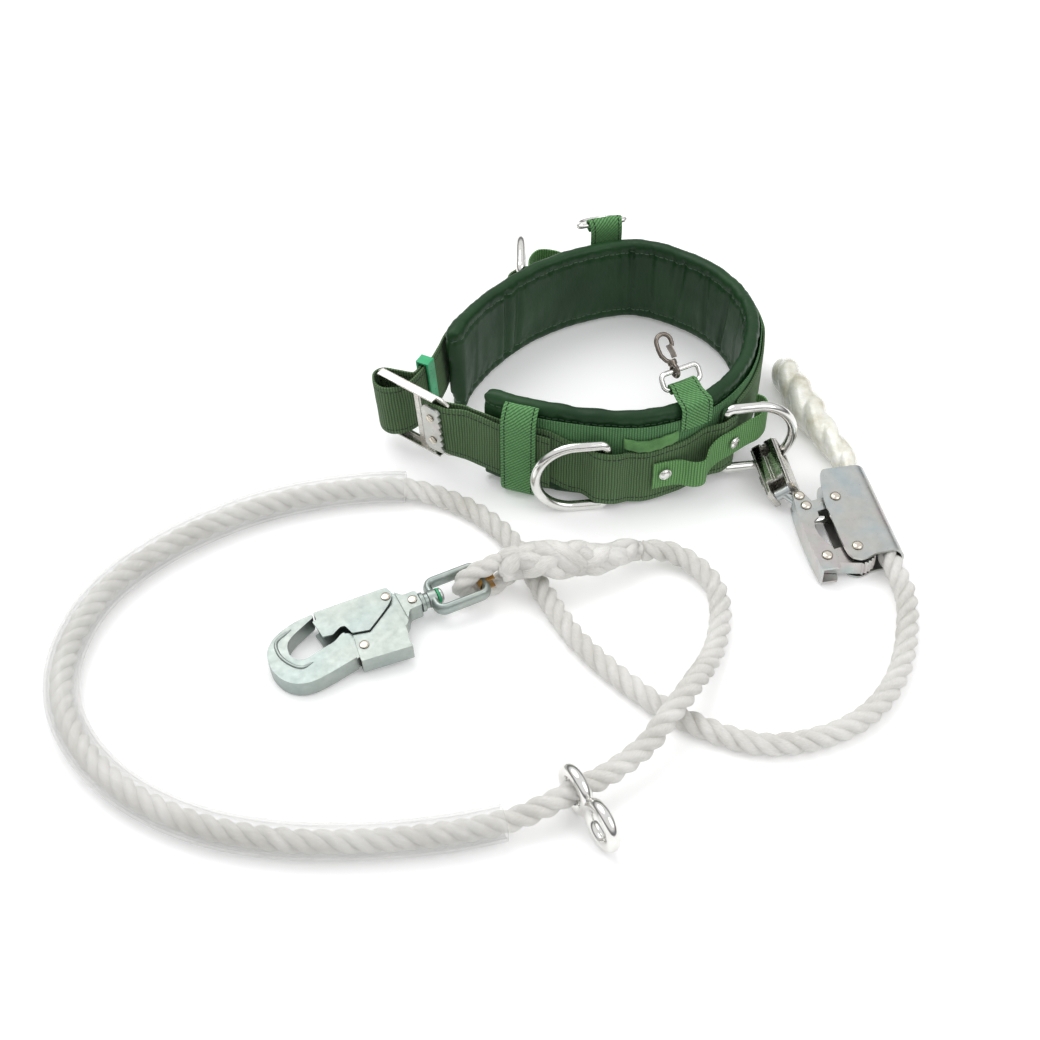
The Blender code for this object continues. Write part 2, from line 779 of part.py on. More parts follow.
def tab_ring_place(distance, out, height, lift, shift=0.0):
    """A frame at a tab ring's bar: X out of the bar, towards the bow, and Z along the bar."""
    _, along, normal = face_frame(distance)
    side = -1.0 if out < 0 else 1.0
    flat = normal * side
    bow = flat * math.cos(lift) + Vector((0, 0, 1)) * math.sin(lift)
    bar = settled(on_face(distance, out, height)) + along * shift
    x_axis = bow.normalized()
    z_axis = along.normalized()
    y_axis = z_axis.cross(x_axis)
    turn = Matrix((x_axis, y_axis, z_axis)).transposed()
    return Matrix.Translation(bar) @ turn.to_4x4()


def near_tab_ring_place():
    return tab_ring_place(TAB_NEAR_AT, -0.0184, 0.0920, math.radians(50))


def far_tab_ring_place():
    return tab_ring_place(TAB_FAR_AT, 0.0098, 0.0958, math.radians(-25), 0.0012)


def make_tab_rings():
    deep, half, bend = NEAR_RING_DEEP, 0.0160, 0.0040
    near = arc((bend, bend - half), bend, 180, 270, 4)
    near += arc((deep - bend, bend - half), bend, -90, 0, 4)
    near += arc((deep - bend, half - bend), bend, 0, 90, 4)
    near += arc((bend, half - bend), bend, 90, 180, 4)
    path = [Vector((x, 0.0, z)) for x, z in near]
    node("tab_ring_near", tube(path, TAB_ROD, 8, True), chrome(), near_tab_ring_place())
    far = d_path(0.0040, 0.0200, 0.0030, 9)
    node("tab_ring_far", tube(far, TAB_ROD, 8, True), chrome(), far_tab_ring_place())


# ------------------------------------------------------------------ snap clip on the near tab
def clip_place():
    """X towards the clip's nose, Y along the tab ring's outer side, where the origin is."""
    side = near_tab_ring_place() @ Vector((NEAR_RING_DEEP, 0.0, -0.0030))
    _, along, _ = face_frame(TAB_NEAR_AT)
    nose = Vector((-0.39, 0.59, 0.70))
    return placed(side, nose - along * nose.dot(along), nose.cross(along))


def make_clip():
    metal = material("gunmetal", (0.32, 0.28, 0.24), 0.30, 1.0)
    place = clip_place()
    eye = [Vector((0.0046 * math.cos(a), 0.0, 0.0046 * math.sin(a))) for a in full_turn(12)]
    body = node("clip_body", tube(eye, 0.0016, 8, True), metal, place)
    barrel = turned([(0.0030, 0.0042), (0.0036, 0.0050), (0.0036, 0.0080), (0.0028, 0.0088)], 12, "X")
    cut(body, barrel, "UNION")
    wire = [(0.0062, -0.0003), (0.0092, -0.0042), (0.0135, -0.0068), (0.0185, -0.0074)]
    wire += arc((0.0225, -0.0010), 0.0062, -90, 80, 7)
    wire += [(0.0205, 0.0051), (0.0182, 0.0043)]
    cut(body, tube([Vector((x, y, 0.0)) for x, y in wire], 0.0017, 8), "UNION")
    leaf = thickened([(0.0094, 0.0032), (0.0135, 0.0031), (0.0197, 0.0018)], 0.0010)
    node("clip_gate", prism(leaf, -0.0040, 0.0040), metal, place)


def full_turn(count):
    return [2 * math.pi * i / count for i in range(count)]


# ------------------------------------------------------------------ connector and neck
def ring_bow_point(angle):
    """A point on the hip ring's bow and the rod's direction there; angle is below the middle."""
    out = hip_direction()
    bar = on_face(HIP_RING_AT, 0.0065, ring_height(HIP_RING_AT))
    reach = RING_LEG + RING_BOW * math.cos(angle)
    point = bar + out * reach - Vector((0, 0, RING_BOW * math.sin(angle)))
    along = out * math.sin(angle) + Vector((0, 0, math.cos(angle)))
    return point, along


def connector_place():
    """X along the ring's rod, Y from the ring towards the grip, Z out of the ribbed face."""
    point, rod = ring_bow_point(math.radians(58))
    towards = Vector((0.209, -0.978, -0.020))
    towards = (towards - rod * towards.dot(rod)).normalized()
    x_axis = -rod.normalized()
    z_axis = x_axis.cross(towards)
    turn = Matrix((x_axis, towards, z_axis)).transposed()
    return Matrix.Translation(point) @ turn.to_4x4()


NECK_PIN = 0.0360  # from the ring's rod to the pin between connector and neck


def make_connector():
    place = connector_place()
    half = 0.011
    deep = 0.0090
    section = [(-half, -deep), (half, -deep), (half, deep)]
    for middle in (0.0054, -0.0054):
        section += [(middle + 0.0046, deep), (middle + 0.0034, deep + 0.0022)]
        section += [(middle - 0.0034, deep + 0.0022), (middle - 0.0046, deep)]
    section.append((-half, deep))
    rings = [[Vector((x, y, z)) for x, z in section] for y in (-0.0098, 0.0388)]
    body = node("connector_body", skin(rings), chrome(), place)
    cut(body, box((-0.02, -0.0074, -0.0066), (0.02, 0.0080, 0.0066)))
    cut(body, box((-0.0080, -0.0074, 0.0), (0.0080, 0.0030, 0.02)))
    cut(body, box((-0.0088, 0.0110, -0.0070), (0.0088, 0.0300, 0.0070)))
    cut(body, box((0.0050, 0.0120, -0.0050), (0.0150, 0.0290, 0.0050)))
    cut(body, box((-0.0066, 0.0290, -0.02), (0.0066, 0.0420, 0.02)))
    pin_hole = turned([(0.0022, -0.02), (0.0022, 0.02)], 12, "X")
    bmesh.ops.translate(pin_hole, vec=(0, NECK_PIN, 0), verts=pin_hole.verts)
    cut(body, pin_hole)
    make_connector_latch(place)
    make_neck(place)


def make_connector_latch(place):
    """The side lever that shuts the connector, hinged near the neck."""
    lever = [(0.0140, -0.0040), (0.0140, 0.0040), (0.0235, 0.0042), (0.0270, 0.0030)]
    lever += [(0.0270, -0.0030), (0.0235, -0.0042)]
    rings = [[Vector((x, y, z)) for y, z in lever] for x in (0.0092, 0.0128)]
    latch = node("connector_latch", skin(rings), chrome(), place)
    hole = turned([(0.0013, -0.01), (0.0013, 0.01)], 10)
    bmesh.ops.translate(hole, vec=(0.0110, 0.0245, 0), verts=hole.verts)
    cut(latch, hole)
    pin = turned([(0.0010, -0.0048), (0.0010, 0.0048)], 10)
    bmesh.ops.translate(pin, vec=(0.0110, 0.0245, 0), verts=pin.verts)
    node("latch_pin", pin, zinc(), place)


def arm_turn_point():
    """Where the neck turns on an upright rivet in the grip arm's open end."""
    return grip_place() @ Vector((*ARM_NECK_PIVOT, 0.0))


def make_neck(place):
    pin = turned([(0.0019, -0.0108), (0.0019, 0.0108)], 12, "X")
    bmesh.ops.translate(pin, vec=(0, NECK_PIN, 0), verts=pin.verts)
    node("neck_pin", pin, zinc(), place)
    knuckle = turned([(0.0044, -0.0060), (0.0044, 0.0060)], 14, "X")
    neck = node("connector_neck", knuckle, zinc(), place @ Matrix.Translation((0, NECK_PIN, 0)))
    inverse = neck.matrix_world.inverted()
    foot = arm_turn_point()
    far_end = inverse @ Vector((foot.x, foot.y, 0.0110))
    cut(neck, tube([Vector((0, 0.001, 0)), far_end], 0.0032, 10), "UNION")
    eye = turned([(0.0045, 0.0052), (0.0045, 0.0168)], 14)
    bmesh.ops.transform(eye, matrix=inverse @ Matrix.Translation(foot), verts=eye.verts)
    cut(neck, eye, "UNION")
    hole = turned([(0.0025, 0.0), (0.0025, 0.03)], 12)
    bmesh.ops.transform(hole, matrix=inverse @ Matrix.Translation(foot), verts=hole.verts)
    cut(neck, hole)
    cut(neck, turned([(0.0022, -0.01), (0.0022, 0.01)], 12, "X"))


# ------------------------------------------------------------------ rope grip
def grip_place():
    """X along the rope towards its lower mouth, Y from the arm to the rope, Z up."""
    return Matrix.Translation(GRIP_CENTRE) @ Matrix.Rotation(GRIP_ANGLE, 4, "Z")


def upright_hole(spot, radius=0.0025):
    hole = turned([(radius, -0.05), (radius, 0.05)], 12)
    bmesh.ops.translate(hole, vec=(*spot, 0.0), verts=hole.verts)
    return hole


def dome_rivet(name, place, spot, low, top):
    """A rivet with its shank through the plates and a domed head on the top one."""
    profile = [(0.0022, low), (0.0022, top + GAP), (0.0042, top + GAP), (0.0042, top + 0.0008)]
    profile += [(0.0034, top + 0.0018), (0.0014, top + 0.0023)]
    node(name, turned(profile, 12), zinc(), place @ Matrix.Translation((*spot, 0.0)))


def make_grip_arm():
    place = grip_place()
    low, high = 0.0030, 0.0190
    outline = [(-0.0262, -0.0335), (-0.0235, -0.0362), (-0.0130, -0.0378), (0.0080, -0.0390)]
    outline.append((0.0310, -0.0390))
    outline += [(0.0560, -0.0375), (0.0560, -0.0240), (0.0500, -0.0225), (0.0360, -0.0225)]
    outline += [(0.0310, -0.0255), (0.0240, -0.0290), (0.0130, -0.0300), (0.0070, -0.0285)]
    outline += [(0.0030, -0.0235), (-0.0100, -0.0225), (-0.0200, -0.0262), (-0.0250, -0.0285)]
    arm = node("grip_arm", prism(outline, low, high), zinc(), place)
    hollow = [(-0.0400, -0.0450), (-0.0140, -0.0450), (-0.0140, -0.0360), (0.0080, -0.0372)]
    hollow.append((0.0310, -0.0372))
    hollow += [(0.0700, -0.0350), (0.0700, -0.0100), (-0.0400, -0.0100)]
    cut(arm, prism(hollow, low + GRIP_PLATE, high - GRIP_PLATE))
    names = ("arm_rivet_neck", "arm_rivet_upper", "arm_rivet_lower")
    for name, spot in zip(names, [ARM_NECK_PIVOT] + ARM_PIVOTS):
        cut(arm, upright_hole(spot))
        dome_rivet(name, place, spot, low + GAP, high)


def make_links():
    place = grip_place()
    (ax, ay), (hx, hy) = ARM_PIVOTS[0], HOUSING_PIVOTS[0]
    low, high = 0.0052, 0.0168
    outline = arc((ax, ay), 0.0052, 180, 360, 7) + arc((hx, hy), 0.0066, 0, 180, 7)
    link = node("upper_link", prism(outline, low, high), zinc(), place)
    cut(link, upright_hole((ax, ay)))
    cut(link, upright_hole((hx, hy)))
    roller = turned([(0.0030, -0.0270), (0.0034, -0.0262), (0.0034, -0.0175), (0.0030, -0.0168)], 12)
    turn = Matrix.Rotation(math.radians(-90), 4, "X")
    bmesh.ops.transform(roller, matrix=turn, verts=roller.verts)
    bmesh.ops.translate(roller, vec=(-0.0008, 0.0, 0.0110), verts=roller.verts)
    node("link_roller", roller, chrome(), place)
    make_cam(place, low, high)


def make_cam(place, low, high):
    (ax, ay), (hx, hy) = ARM_PIVOTS[1], HOUSING_PIVOTS[1]
    outline = arc((ax, ay), 0.0052, 210, 340, 6)
    teeth = 7
    for i in range(teeth):
        start = -4 + 96 * i / teeth
        outline += arc((hx, hy), 0.0132, start, start + 2, 2)
        outline += arc((hx, hy), 0.0148, start + 8, start + 9, 2)
    outline += [(hx - 0.0066, hy + 0.0050), (hx - 0.0068, hy - 0.0040)]
    cam = node("grip_cam", prism(outline, low, high), zinc(), place)
    cut(cam, upright_hole((ax, ay)))
    cut(cam, upright_hole((hx, hy)))


def make_housing():
    place = grip_place()
    middle = (GRIP_LOW + GRIP_HIGH) / 2
    outer = (GRIP_HIGH - GRIP_LOW) / 2
    section = [(-0.030, GRIP_LOW)] + arc((ROPE_LANE, middle), outer, -90, 90, 9)
    section += [(-0.030, GRIP_HIGH), (-0.030, GRIP_HIGH - GRIP_PLATE)]
    section += arc((ROPE_LANE, middle), outer - GRIP_PLATE, 90, -90, 9)
    section.append((-0.030, GRIP_LOW + GRIP_PLATE))
    rings = [[Vector((x, y, z)) for y, z in section] for x in (-0.0440, 0.0530)]
    housing = node("grip_housing", skin(rings), zinc(), place)
    outline = [(-0.0440, -0.0060), (-0.0415, -0.0090), (-0.0350, -0.0110), (-0.0160, -0.0152)]
    outline += [(0.0040, -0.0160), (0.0430, -0.0160), (0.0500, -0.0130), (0.0530, -0.0070)]
    outline += [(0.0520, -0.0010), (0.0480, 0.0060), (0.0480, 0.0400), (-0.0410, 0.0400)]
    outline += [(-0.0440, 0.0370)]
    cut(housing, prism(outline, -0.01, 0.04), "INTERSECT")
    names = ("housing_rivet_upper", "housing_rivet_lower")
    for name, spot in zip(names, HOUSING_PIVOTS):
        cut(housing, upright_hole(spot))
        dome_rivet(name, place, spot, GRIP_LOW + GAP, GRIP_HIGH)


# ------------------------------------------------------------------ rope and what is on it
def rope_line():
    return smooth_line(ROUTE, 0.0265)


def nearest(line, place):
    """The index of the line's point nearest to a place seen from above."""
    gaps = [(p.x - place[0]) ** 2 + (p.y - place[1]) ** 2 for p in line]
    return gaps.index(min(gaps))


def make_rope():
    curve = bpy.data.curves.new("rope", "CURVE")
    curve.dimensions = "3D"
    curve.bevel_depth = ROPE / 2
    curve.bevel_resolution = 2
    curve.use_fill_caps = True
    line = rope_line()
    spline = curve.splines.new("POLY")
    spline.points.add(len(line) - 1)
    for point, place in zip(spline.points, line):
        point.co = (*place, 1.0)
    lay_out("rope", curve, nylon())


def make_sleeve():
    """The clear hose that protects the rope where it goes round a trunk."""
    fine = smooth_line(ROUTE, 0.0050)
    part = fine[nearest(fine, SLEEVE_FROM) : nearest(fine, SLEEVE_TO) + 1]
    part = resampled(part, 0.0240)
    outer, inner = [], []
    for i, p in enumerate(part):
        along = part[min(i + 1, len(part) - 1)] - part[max(i - 1, 0)]
        side = Vector((along.y, -along.x, 0.0)).normalized()
        middle = Vector((p.x, p.y, SLEEVE_OUT + GAP))
        for ring, radius in ((outer, SLEEVE_OUT), (inner, SLEEVE_IN)):
            turn = circle((0, 0), radius, 10)
            ring.append([middle + side * x + Vector((0, 0, y)) for x, y in turn])
    clear = material("clear_pvc", (0.80, 0.82, 0.82), 0.20)
    node("rope_sleeve", skin(outer + inner[::-1], closed=True), clear)


def tapered(stops, step, sides):
    """A tube through stops of (x, y, z, radius), smooth in both."""
    line = smooth_line_4(stops, step)
    return tube([p for p, _ in line], [r for _, r in line], sides)


def smooth_line_4(stops, step):
    places = smooth_line([s[:3] for s in stops], step)
    radii = smooth_line([(i, s[3] * 1000, 0.0) for i, s in enumerate(stops)], 0.05)
    count = len(places) - 1
    found = []
    for i, place in enumerate(places):
        wanted = (len(stops) - 1) * i / count
        nearest_radius = min(radii, key=lambda r: abs(r.x - wanted))
        found.append((place, nearest_radius.y / 1000))
    return found


def make_splices():
    node("tail_splice", tapered(TAIL_SPLICE, 0.009, 12), nylon(), None, 60)
    splice = node("eye_splice", tapered(EYE_SPLICE, 0.0085, 12), nylon(), None, 60)
    place = hook_place()
    strand = 0.0055
    reach = 0.0104
    loop = [(EYE_BAR + 0.0260, 0.0105), (EYE_BAR + 0.0150, 0.0112), (EYE_BAR + 0.0050, 0.0108)]
    loop += arc((EYE_BAR, 0.0), reach, 90, 270, 9)
    loop += [(EYE_BAR + 0.0050, -0.0106), (EYE_BAR + 0.0120, -0.0106), (EYE_BAR + 0.0230, -0.0030)]
    path = [place @ Vector((u, SWIVEL_SIDE, w)) for u, w in loop]
    cut(splice, tube(path, strand, 10), "UNION")


def make_thimble():
    """The liner inside the spliced eye, open towards the splice."""
    place = hook_place()
    outline = [(EYE_BAR + 0.0080, 0.0041)] + arc((EYE_BAR, 0.0), 0.0041, 90, 270, 9)
    outline.append((EYE_BAR + 0.0080, -0.0041))
    profile = thickened(outline, 0.0010)
    rings = [[Vector((u, SWIVEL_SIDE + v, w)) for u, w in profile] for v in (-0.0070, 0.0070)]
    amber = material("amber_plastic", (0.45, 0.24, 0.05), 0.40)
    node("thimble", skin(rings), amber, place)


def make_figure8():
    """Two joined steel rings that slide on the rope, standing on edge."""
    up = Vector((0, 0, 1))
    turn = Matrix((FIGURE8_LONG, up.cross(FIGURE8_LONG), up)).transposed()
    place = Matrix.Translation(FIGURE8_AT) @ turn.to_4x4()
    ring = [Vector((0.0140 * math.cos(a), 0.0, 0.0140 * math.sin(a))) for a in full_turn(20)]
    shape = node("figure8_ring", tube(ring, 0.0046, 8, True), chrome(), place)
    tilt = Matrix.Translation((0.0312, 0.0, -0.0003)) @ Matrix.Rotation(math.radians(5), 4, "Y")
    second = tube([tilt @ p for p in ring], 0.0045, 8, True)
    cut(shape, second, "UNION")


# ------------------------------------------------------------------ snap hook and swivel
def hook_place():
    """X along the hook towards its swivel, Y across towards the gate, Z out of its face."""
    level, climb = math.cos(HOOK_TILT), math.sin(HOOK_TILT)
    along = Vector((math.cos(HOOK_ANGLE) * level, math.sin(HOOK_ANGLE) * level, climb))
    return placed(HOOK_CENTRE, along, (0, 0, 1))


GATE_PIVOT = (0.0426, 0.0212)
LEVER_PIVOT = (0.0133, -0.0117)
NECK_HALF = 0.0066  # half thickness of the forged body
TONGUE_HALF = 0.0050
LEVER_PLATES = (0.0053, 0.0064)
GATE_PLATES = (0.0069, 0.0081)


def make_hook():
    place = hook_place()
    outline = [(-0.0100, 0.0315), (-0.0240, 0.0308), (-0.0395, 0.0252), (-0.0475, 0.0180)]
    outline += [(-0.0518, 0.0090), (-0.0523, -0.0030), (-0.0490, -0.0140), (-0.0430, -0.0213)]
    outline += [(-0.0350, -0.0252), (-0.0260, -0.0258), (-0.0110, -0.0232), (0.0080, -0.0190)]
    outline += [(0.0300, -0.0150), (0.0480, -0.0070), (0.0540, 0.0036), (0.0640, 0.0036)]
    outline += [(0.0640, 0.0184), (0.0540, 0.0184), (0.0490, 0.0250), (0.0430, 0.0272)]
    outline += [(0.0380, 0.0240), (0.0340, 0.0120), (0.0200, 0.0010), (0.0110, 0.0015)]
    outline += [(0.0060, 0.0055), (0.0020, 0.0050), (-0.0040, 0.0005), (-0.0118, -0.0008)]
    outline += [(-0.0275, -0.0050), (-0.0330, -0.0028), (-0.0366, 0.0030), (-0.0360, 0.0110)]
    outline += [(-0.0322, 0.0176), (-0.0150, 0.0262), (-0.0100, 0.0285)]
    body = node("hook_body", prism(outline, -NECK_HALF, NECK_HALF), zinc(), place)
    for side in (1, -1):
        low, high = sorted((side * TONGUE_HALF, side * 0.02))
        cut(body, box((0.0046, -0.04, low), (0.0500, 0.04, high)))
    bore = turned([(0.0038, 0.0560), (0.0038, 0.0700)], 12, "X")
    bmesh.ops.translate(bore, vec=(0, SWIVEL_SIDE, 0), verts=bore.verts)
    cut(body, bore)
    cut(body, upright_hole(GATE_PIVOT, 0.0023))
    cut(body, upright_hole(LEVER_PIVOT, 0.0023))
    collar = turned([(0.0072, 0.0643), (0.0072, 0.0670), (0.0058, 0.0676), (0.0058, 0.0702)], 14, "X")
    bmesh.ops.translate(collar, vec=(0, SWIVEL_SIDE, 0), verts=collar.verts)
    ring = node("hook_collar", collar, zinc(), place)
    bore = turned([(0.0038, 0.0500), (0.0038, 0.0800)], 12, "X")
    bmesh.ops.translate(bore, vec=(0, SWIVEL_SIDE, 0), verts=bore.verts)
    cut(ring, bore)
    rivet = turned([(0.0034, NECK_HALF + GAP), (0.0034, 0.0076), (0.0018, 0.0083)], 12)
    bmesh.ops.translate(rivet, vec=(0.0590, SWIVEL_SIDE, 0), verts=rivet.verts)
    node("neck_rivet", rivet, zinc(), place)


def folded_plate(name, outline, hollow, plates, place):
    """A channel that straddles the hook: an outline less the space between its two cheeks."""
    shape = node(name, prism(outline, -plates[1], plates[1]), zinc(), place)
    cut(shape, prism(hollow, -plates[0], plates[0]))
    return shape


def through_rivet(name, spot, half, place):
    profile = [(0.0036, -half - 0.0012), (0.0036, -half - GAP), (0.0020, -half - GAP)]
    profile += [(0.0020, half + GAP), (0.0036, half + GAP), (0.0034, half + 0.0010)]
    profile += [(0.0014, half + 0.0017)]
    node(name, turned(profile, 12), zinc(), place @ Matrix.Translation((*spot, 0.0)))


def make_hook_moving():
    place = hook_place()
    gate = [(-0.0090, 0.0313), (-0.0090, 0.0243), (-0.0124, 0.0235), (-0.0112, 0.0150)]
    gate += [(-0.0104, 0.0072), (-0.0034, 0.0059), (0.0036, 0.0100), (0.0070, 0.0096)]
    gate += [(0.0094, 0.0010), (0.0212, -0.0020), (0.0440, 0.0146), (0.0480, 0.0230)]
    gate += [(0.0462, 0.0288), (0.0425, 0.0298), (-0.0036, 0.0310)]
    hollow = [(-0.0200, 0.0290), (-0.0200, -0.0100), (0.0600, -0.0100), (0.0600, 0.0340)]
    hollow += [(0.0410, 0.0340), (0.0360, 0.0282), (-0.0036, 0.0292)]
    plate = folded_plate("hook_gate", gate, hollow, GATE_PLATES, place)
    cut(plate, upright_hole(GATE_PIVOT, 0.0023))
    through_rivet("gate_rivet", GATE_PIVOT, GATE_PLATES[1], place)
    lever = [(0.0094, 0.0002), (0.0078, -0.0115), (0.0066, -0.0200), (0.0064, -0.0245)]
    lever += [(0.0435, -0.0283), (0.0432, -0.0220), (0.0460, -0.0108), (0.0452, 0.0080)]
    lever += [(0.0434, 0.0132), (0.0214, -0.0028)]
    hollow = [(0.0000, 0.0200), (0.0000, -0.0222), (0.0500, -0.0268), (0.0500, 0.0200)]
    plate = folded_plate("safety_lever", lever, hollow, LEVER_PLATES, place)
    cut(plate, upright_hole(LEVER_PIVOT, 0.0023))
    through_rivet("lever_rivet", LEVER_PIVOT, LEVER_PLATES[1], place)
    make_gate_spring(place)


def make_gate_spring(place):
    """The coil behind the gate, inside the folded plates."""
    coil = []
    turns = 4
    for i in range(turns * 8 + 1):
        angle = 2 * math.pi * i / 8
        across = -0.0030 + 0.0060 * i / (turns * 8)
        coil.append(Vector((0.0285 + 0.0034 * math.cos(angle), 0.0190 + 0.0034 * math.sin(angle), across)))
    node("gate_spring", tube(coil, 0.0005, 6), zinc(), place)


def make_swivel():
    place = hook_place()
    side = SWIVEL_SIDE
    start, end, half, bend = 0.0740, EYE_BAR, 0.0140, 0.0058
    loop = arc((end - bend, side + half - bend), bend, 90, 0, 5)
    loop += arc((end - bend, side - half + bend), bend, 0, -90, 5)
    loop += arc((start + bend, side - half + bend), bend, -90, -180, 5)
    loop += arc((start + bend, side + half - bend), bend, 180, 90, 5)
    path = [Vector((x, y, 0.0)) for x, y in loop]
    eye = node("swivel_eye", tube(path, 0.0032, 8, True), zinc(), place)
    base = turned([(0.0062, 0.0706), (0.0064, 0.0712), (0.0064, 0.0764), (0.0058, 0.0770)], 14, "X")
    bmesh.ops.translate(base, vec=(0, side, 0), verts=base.verts)
    cut(eye, base, "UNION")
    bore = turned([(0.0038, 0.0650), (0.0038, 0.0800)], 12, "X")
    bmesh.ops.translate(bore, vec=(0, side, 0), verts=bore.verts)
    cut(eye, bore)
    pin = [(0.0035, 0.0565), (0.0035, 0.0793), (0.0056, 0.0793), (0.0056, 0.0806), (0.0040, 0.0818)]
    shape = turned(pin, 12, "X")
    bmesh.ops.translate(shape, vec=(0, side, 0), verts=shape.verts)
    node("swivel_pin", shape, zinc(), place)
    washer = [(0.0038, 0.0773), (0.0060, 0.0773), (0.0060, 0.0790), (0.0038, 0.0790)]
    rings = []
    for radius, along in washer:
        turn = circle((side, 0.0), radius, 12)
        rings.append([Vector((along, y, z)) for y, z in turn])
    green = material("green_plastic", (0.030, 0.400, 0.160), 0.40)
    node("swivel_washer", skin(rings, closed=True), green, place)


# ------------------------------------------------------------------ everything
def main():
    clear_scene()
    make_pad()
    make_pad_webbing()
    make_main_belt()
    make_keeper()
    make_ring_strap()
    make_tool_straps()
    make_strap_rivets()
    make_tabs()
    make_slide_keeper()
    make_buckle()
    make_large_rings()
    make_tab_rings()
    make_clip()
    make_connector()
    make_grip_arm()
    make_links()
    make_housing()
    make_rope()
    make_sleeve()
    make_splices()
    make_thimble()
    make_figure8()
    make_hook()
    make_hook_moving()
    make_swivel()
    for obj in bpy.data.objects:
        obj.matrix_world = Matrix.Translation(-MIDDLE) @ obj.matrix_world


main()
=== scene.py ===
import json
import math

import bmesh
import bpy
from mathutils import Matrix, Vector, noise

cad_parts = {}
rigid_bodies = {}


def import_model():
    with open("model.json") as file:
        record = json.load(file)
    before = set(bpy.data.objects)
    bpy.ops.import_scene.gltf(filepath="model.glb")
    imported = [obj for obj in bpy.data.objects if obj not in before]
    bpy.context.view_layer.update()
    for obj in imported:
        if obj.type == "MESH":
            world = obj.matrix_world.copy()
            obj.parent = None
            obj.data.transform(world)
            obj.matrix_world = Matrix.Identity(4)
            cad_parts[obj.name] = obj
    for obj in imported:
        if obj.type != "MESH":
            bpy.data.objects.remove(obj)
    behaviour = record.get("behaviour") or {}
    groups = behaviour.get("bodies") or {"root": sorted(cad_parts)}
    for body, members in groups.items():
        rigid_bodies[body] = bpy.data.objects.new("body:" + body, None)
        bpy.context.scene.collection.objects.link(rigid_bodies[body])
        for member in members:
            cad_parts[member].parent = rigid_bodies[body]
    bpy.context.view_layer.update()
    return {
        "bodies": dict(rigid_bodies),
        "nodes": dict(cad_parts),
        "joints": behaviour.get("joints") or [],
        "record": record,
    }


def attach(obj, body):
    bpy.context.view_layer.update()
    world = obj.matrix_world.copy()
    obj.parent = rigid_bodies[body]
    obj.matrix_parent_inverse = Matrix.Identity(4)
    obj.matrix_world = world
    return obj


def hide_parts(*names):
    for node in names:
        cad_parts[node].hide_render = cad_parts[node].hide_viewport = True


# The looks of a work-positioning belt and its rope lanyard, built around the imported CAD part.
# Everything is in metres. The shapes are laid out in the CAD source's own terms, with the same
# names and numbers, and settle_pieces() moves them into the row frame at the end.

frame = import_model()
for plain in bpy.data.materials:
    plain.name = "cad_" + plain.name
BODY_OF = {
    name: body
    for body, names in frame["record"]["behaviour"]["bodies"].items()
    for name in names
}
LOOKS = {}  # CAD node name -> the piece that stands for it

# ------------------------------------------------------------------ driving dimensions
GAP = 0.0003  # left between pieces that touch
PAD_HEIGHT = 0.088
PAD_THICK = 0.013
SEAM_LOW, SEAM_HIGH = 0.0115, 0.0765  # heights of the pad's two rows of stitches
BELT_WIDTH = 0.050
BELT_THICK = 0.002
TAPE_WIDTH = 0.026  # the light webbing of keepers, tabs and tool straps
TAPE_THICK = 0.0016
LEAN = 0.13  # how far the far wall and the buckle tip towards the near side, per unit of height
BUCKLE_LEAN = (-0.063, -0.081)  # the same lean, square to the buckle's own length

RING_ROD = 0.004  # radius of the large D-rings' rod
RING_LEG = 0.0234  # straight part of a large D-ring, from bar to bow
RING_BOW = 0.0302  # radius of the bow, to the middle of the rod
TAB_ROD = 0.002
NEAR_RING_DEEP = 0.0122  # of the small rectangular ring that carries the clip

ROPE = 0.016  # diameter
SLEEVE_OUT = 0.0125
SLEEVE_IN = 0.0105

# Taken off every place at the end, so that the origin is under the middle of the belt, grip and hook.
MIDDLE = Vector((0.00064, -0.00549, 0.0))

# The pad's outer face, seen from above, from its near end round the back to its far end.
PAD_FACE = [
    (-0.081, -0.010), (-0.061, -0.020), (-0.028, -0.030), (0.009, -0.037), (0.042, -0.037),
    (0.073, -0.026), (0.099, -0.008), (0.122, 0.024), (0.134, 0.060), (0.137, 0.100), (0.125, 0.144),
    (0.095, 0.179), (0.047, 0.202), (-0.003, 0.191), (-0.048, 0.164), (-0.081, 0.128), (-0.102, 0.092),
    (-0.109, 0.068),
]

# Distances along that face, from its near end.
KEEPER_AT = 0.033
FRONT_RING_AT = 0.098
TAB_NEAR_AT = 0.166
HIP_RING_AT = 0.192
TAB_FAR_AT = 0.484
FAR_RING_AT = 0.561
TAIL_END_AT = 0.056

# Height of the main belt's lower edge at distances along the face.
BELT_LOW = [
    (-0.05, 0.021), (0.05, 0.019), (0.075, 0.011), (0.098, 0.0095), (0.125, 0.004), (0.15, 0.007),
    (0.192, 0.017), (0.25, 0.022), (0.80, 0.022),
]

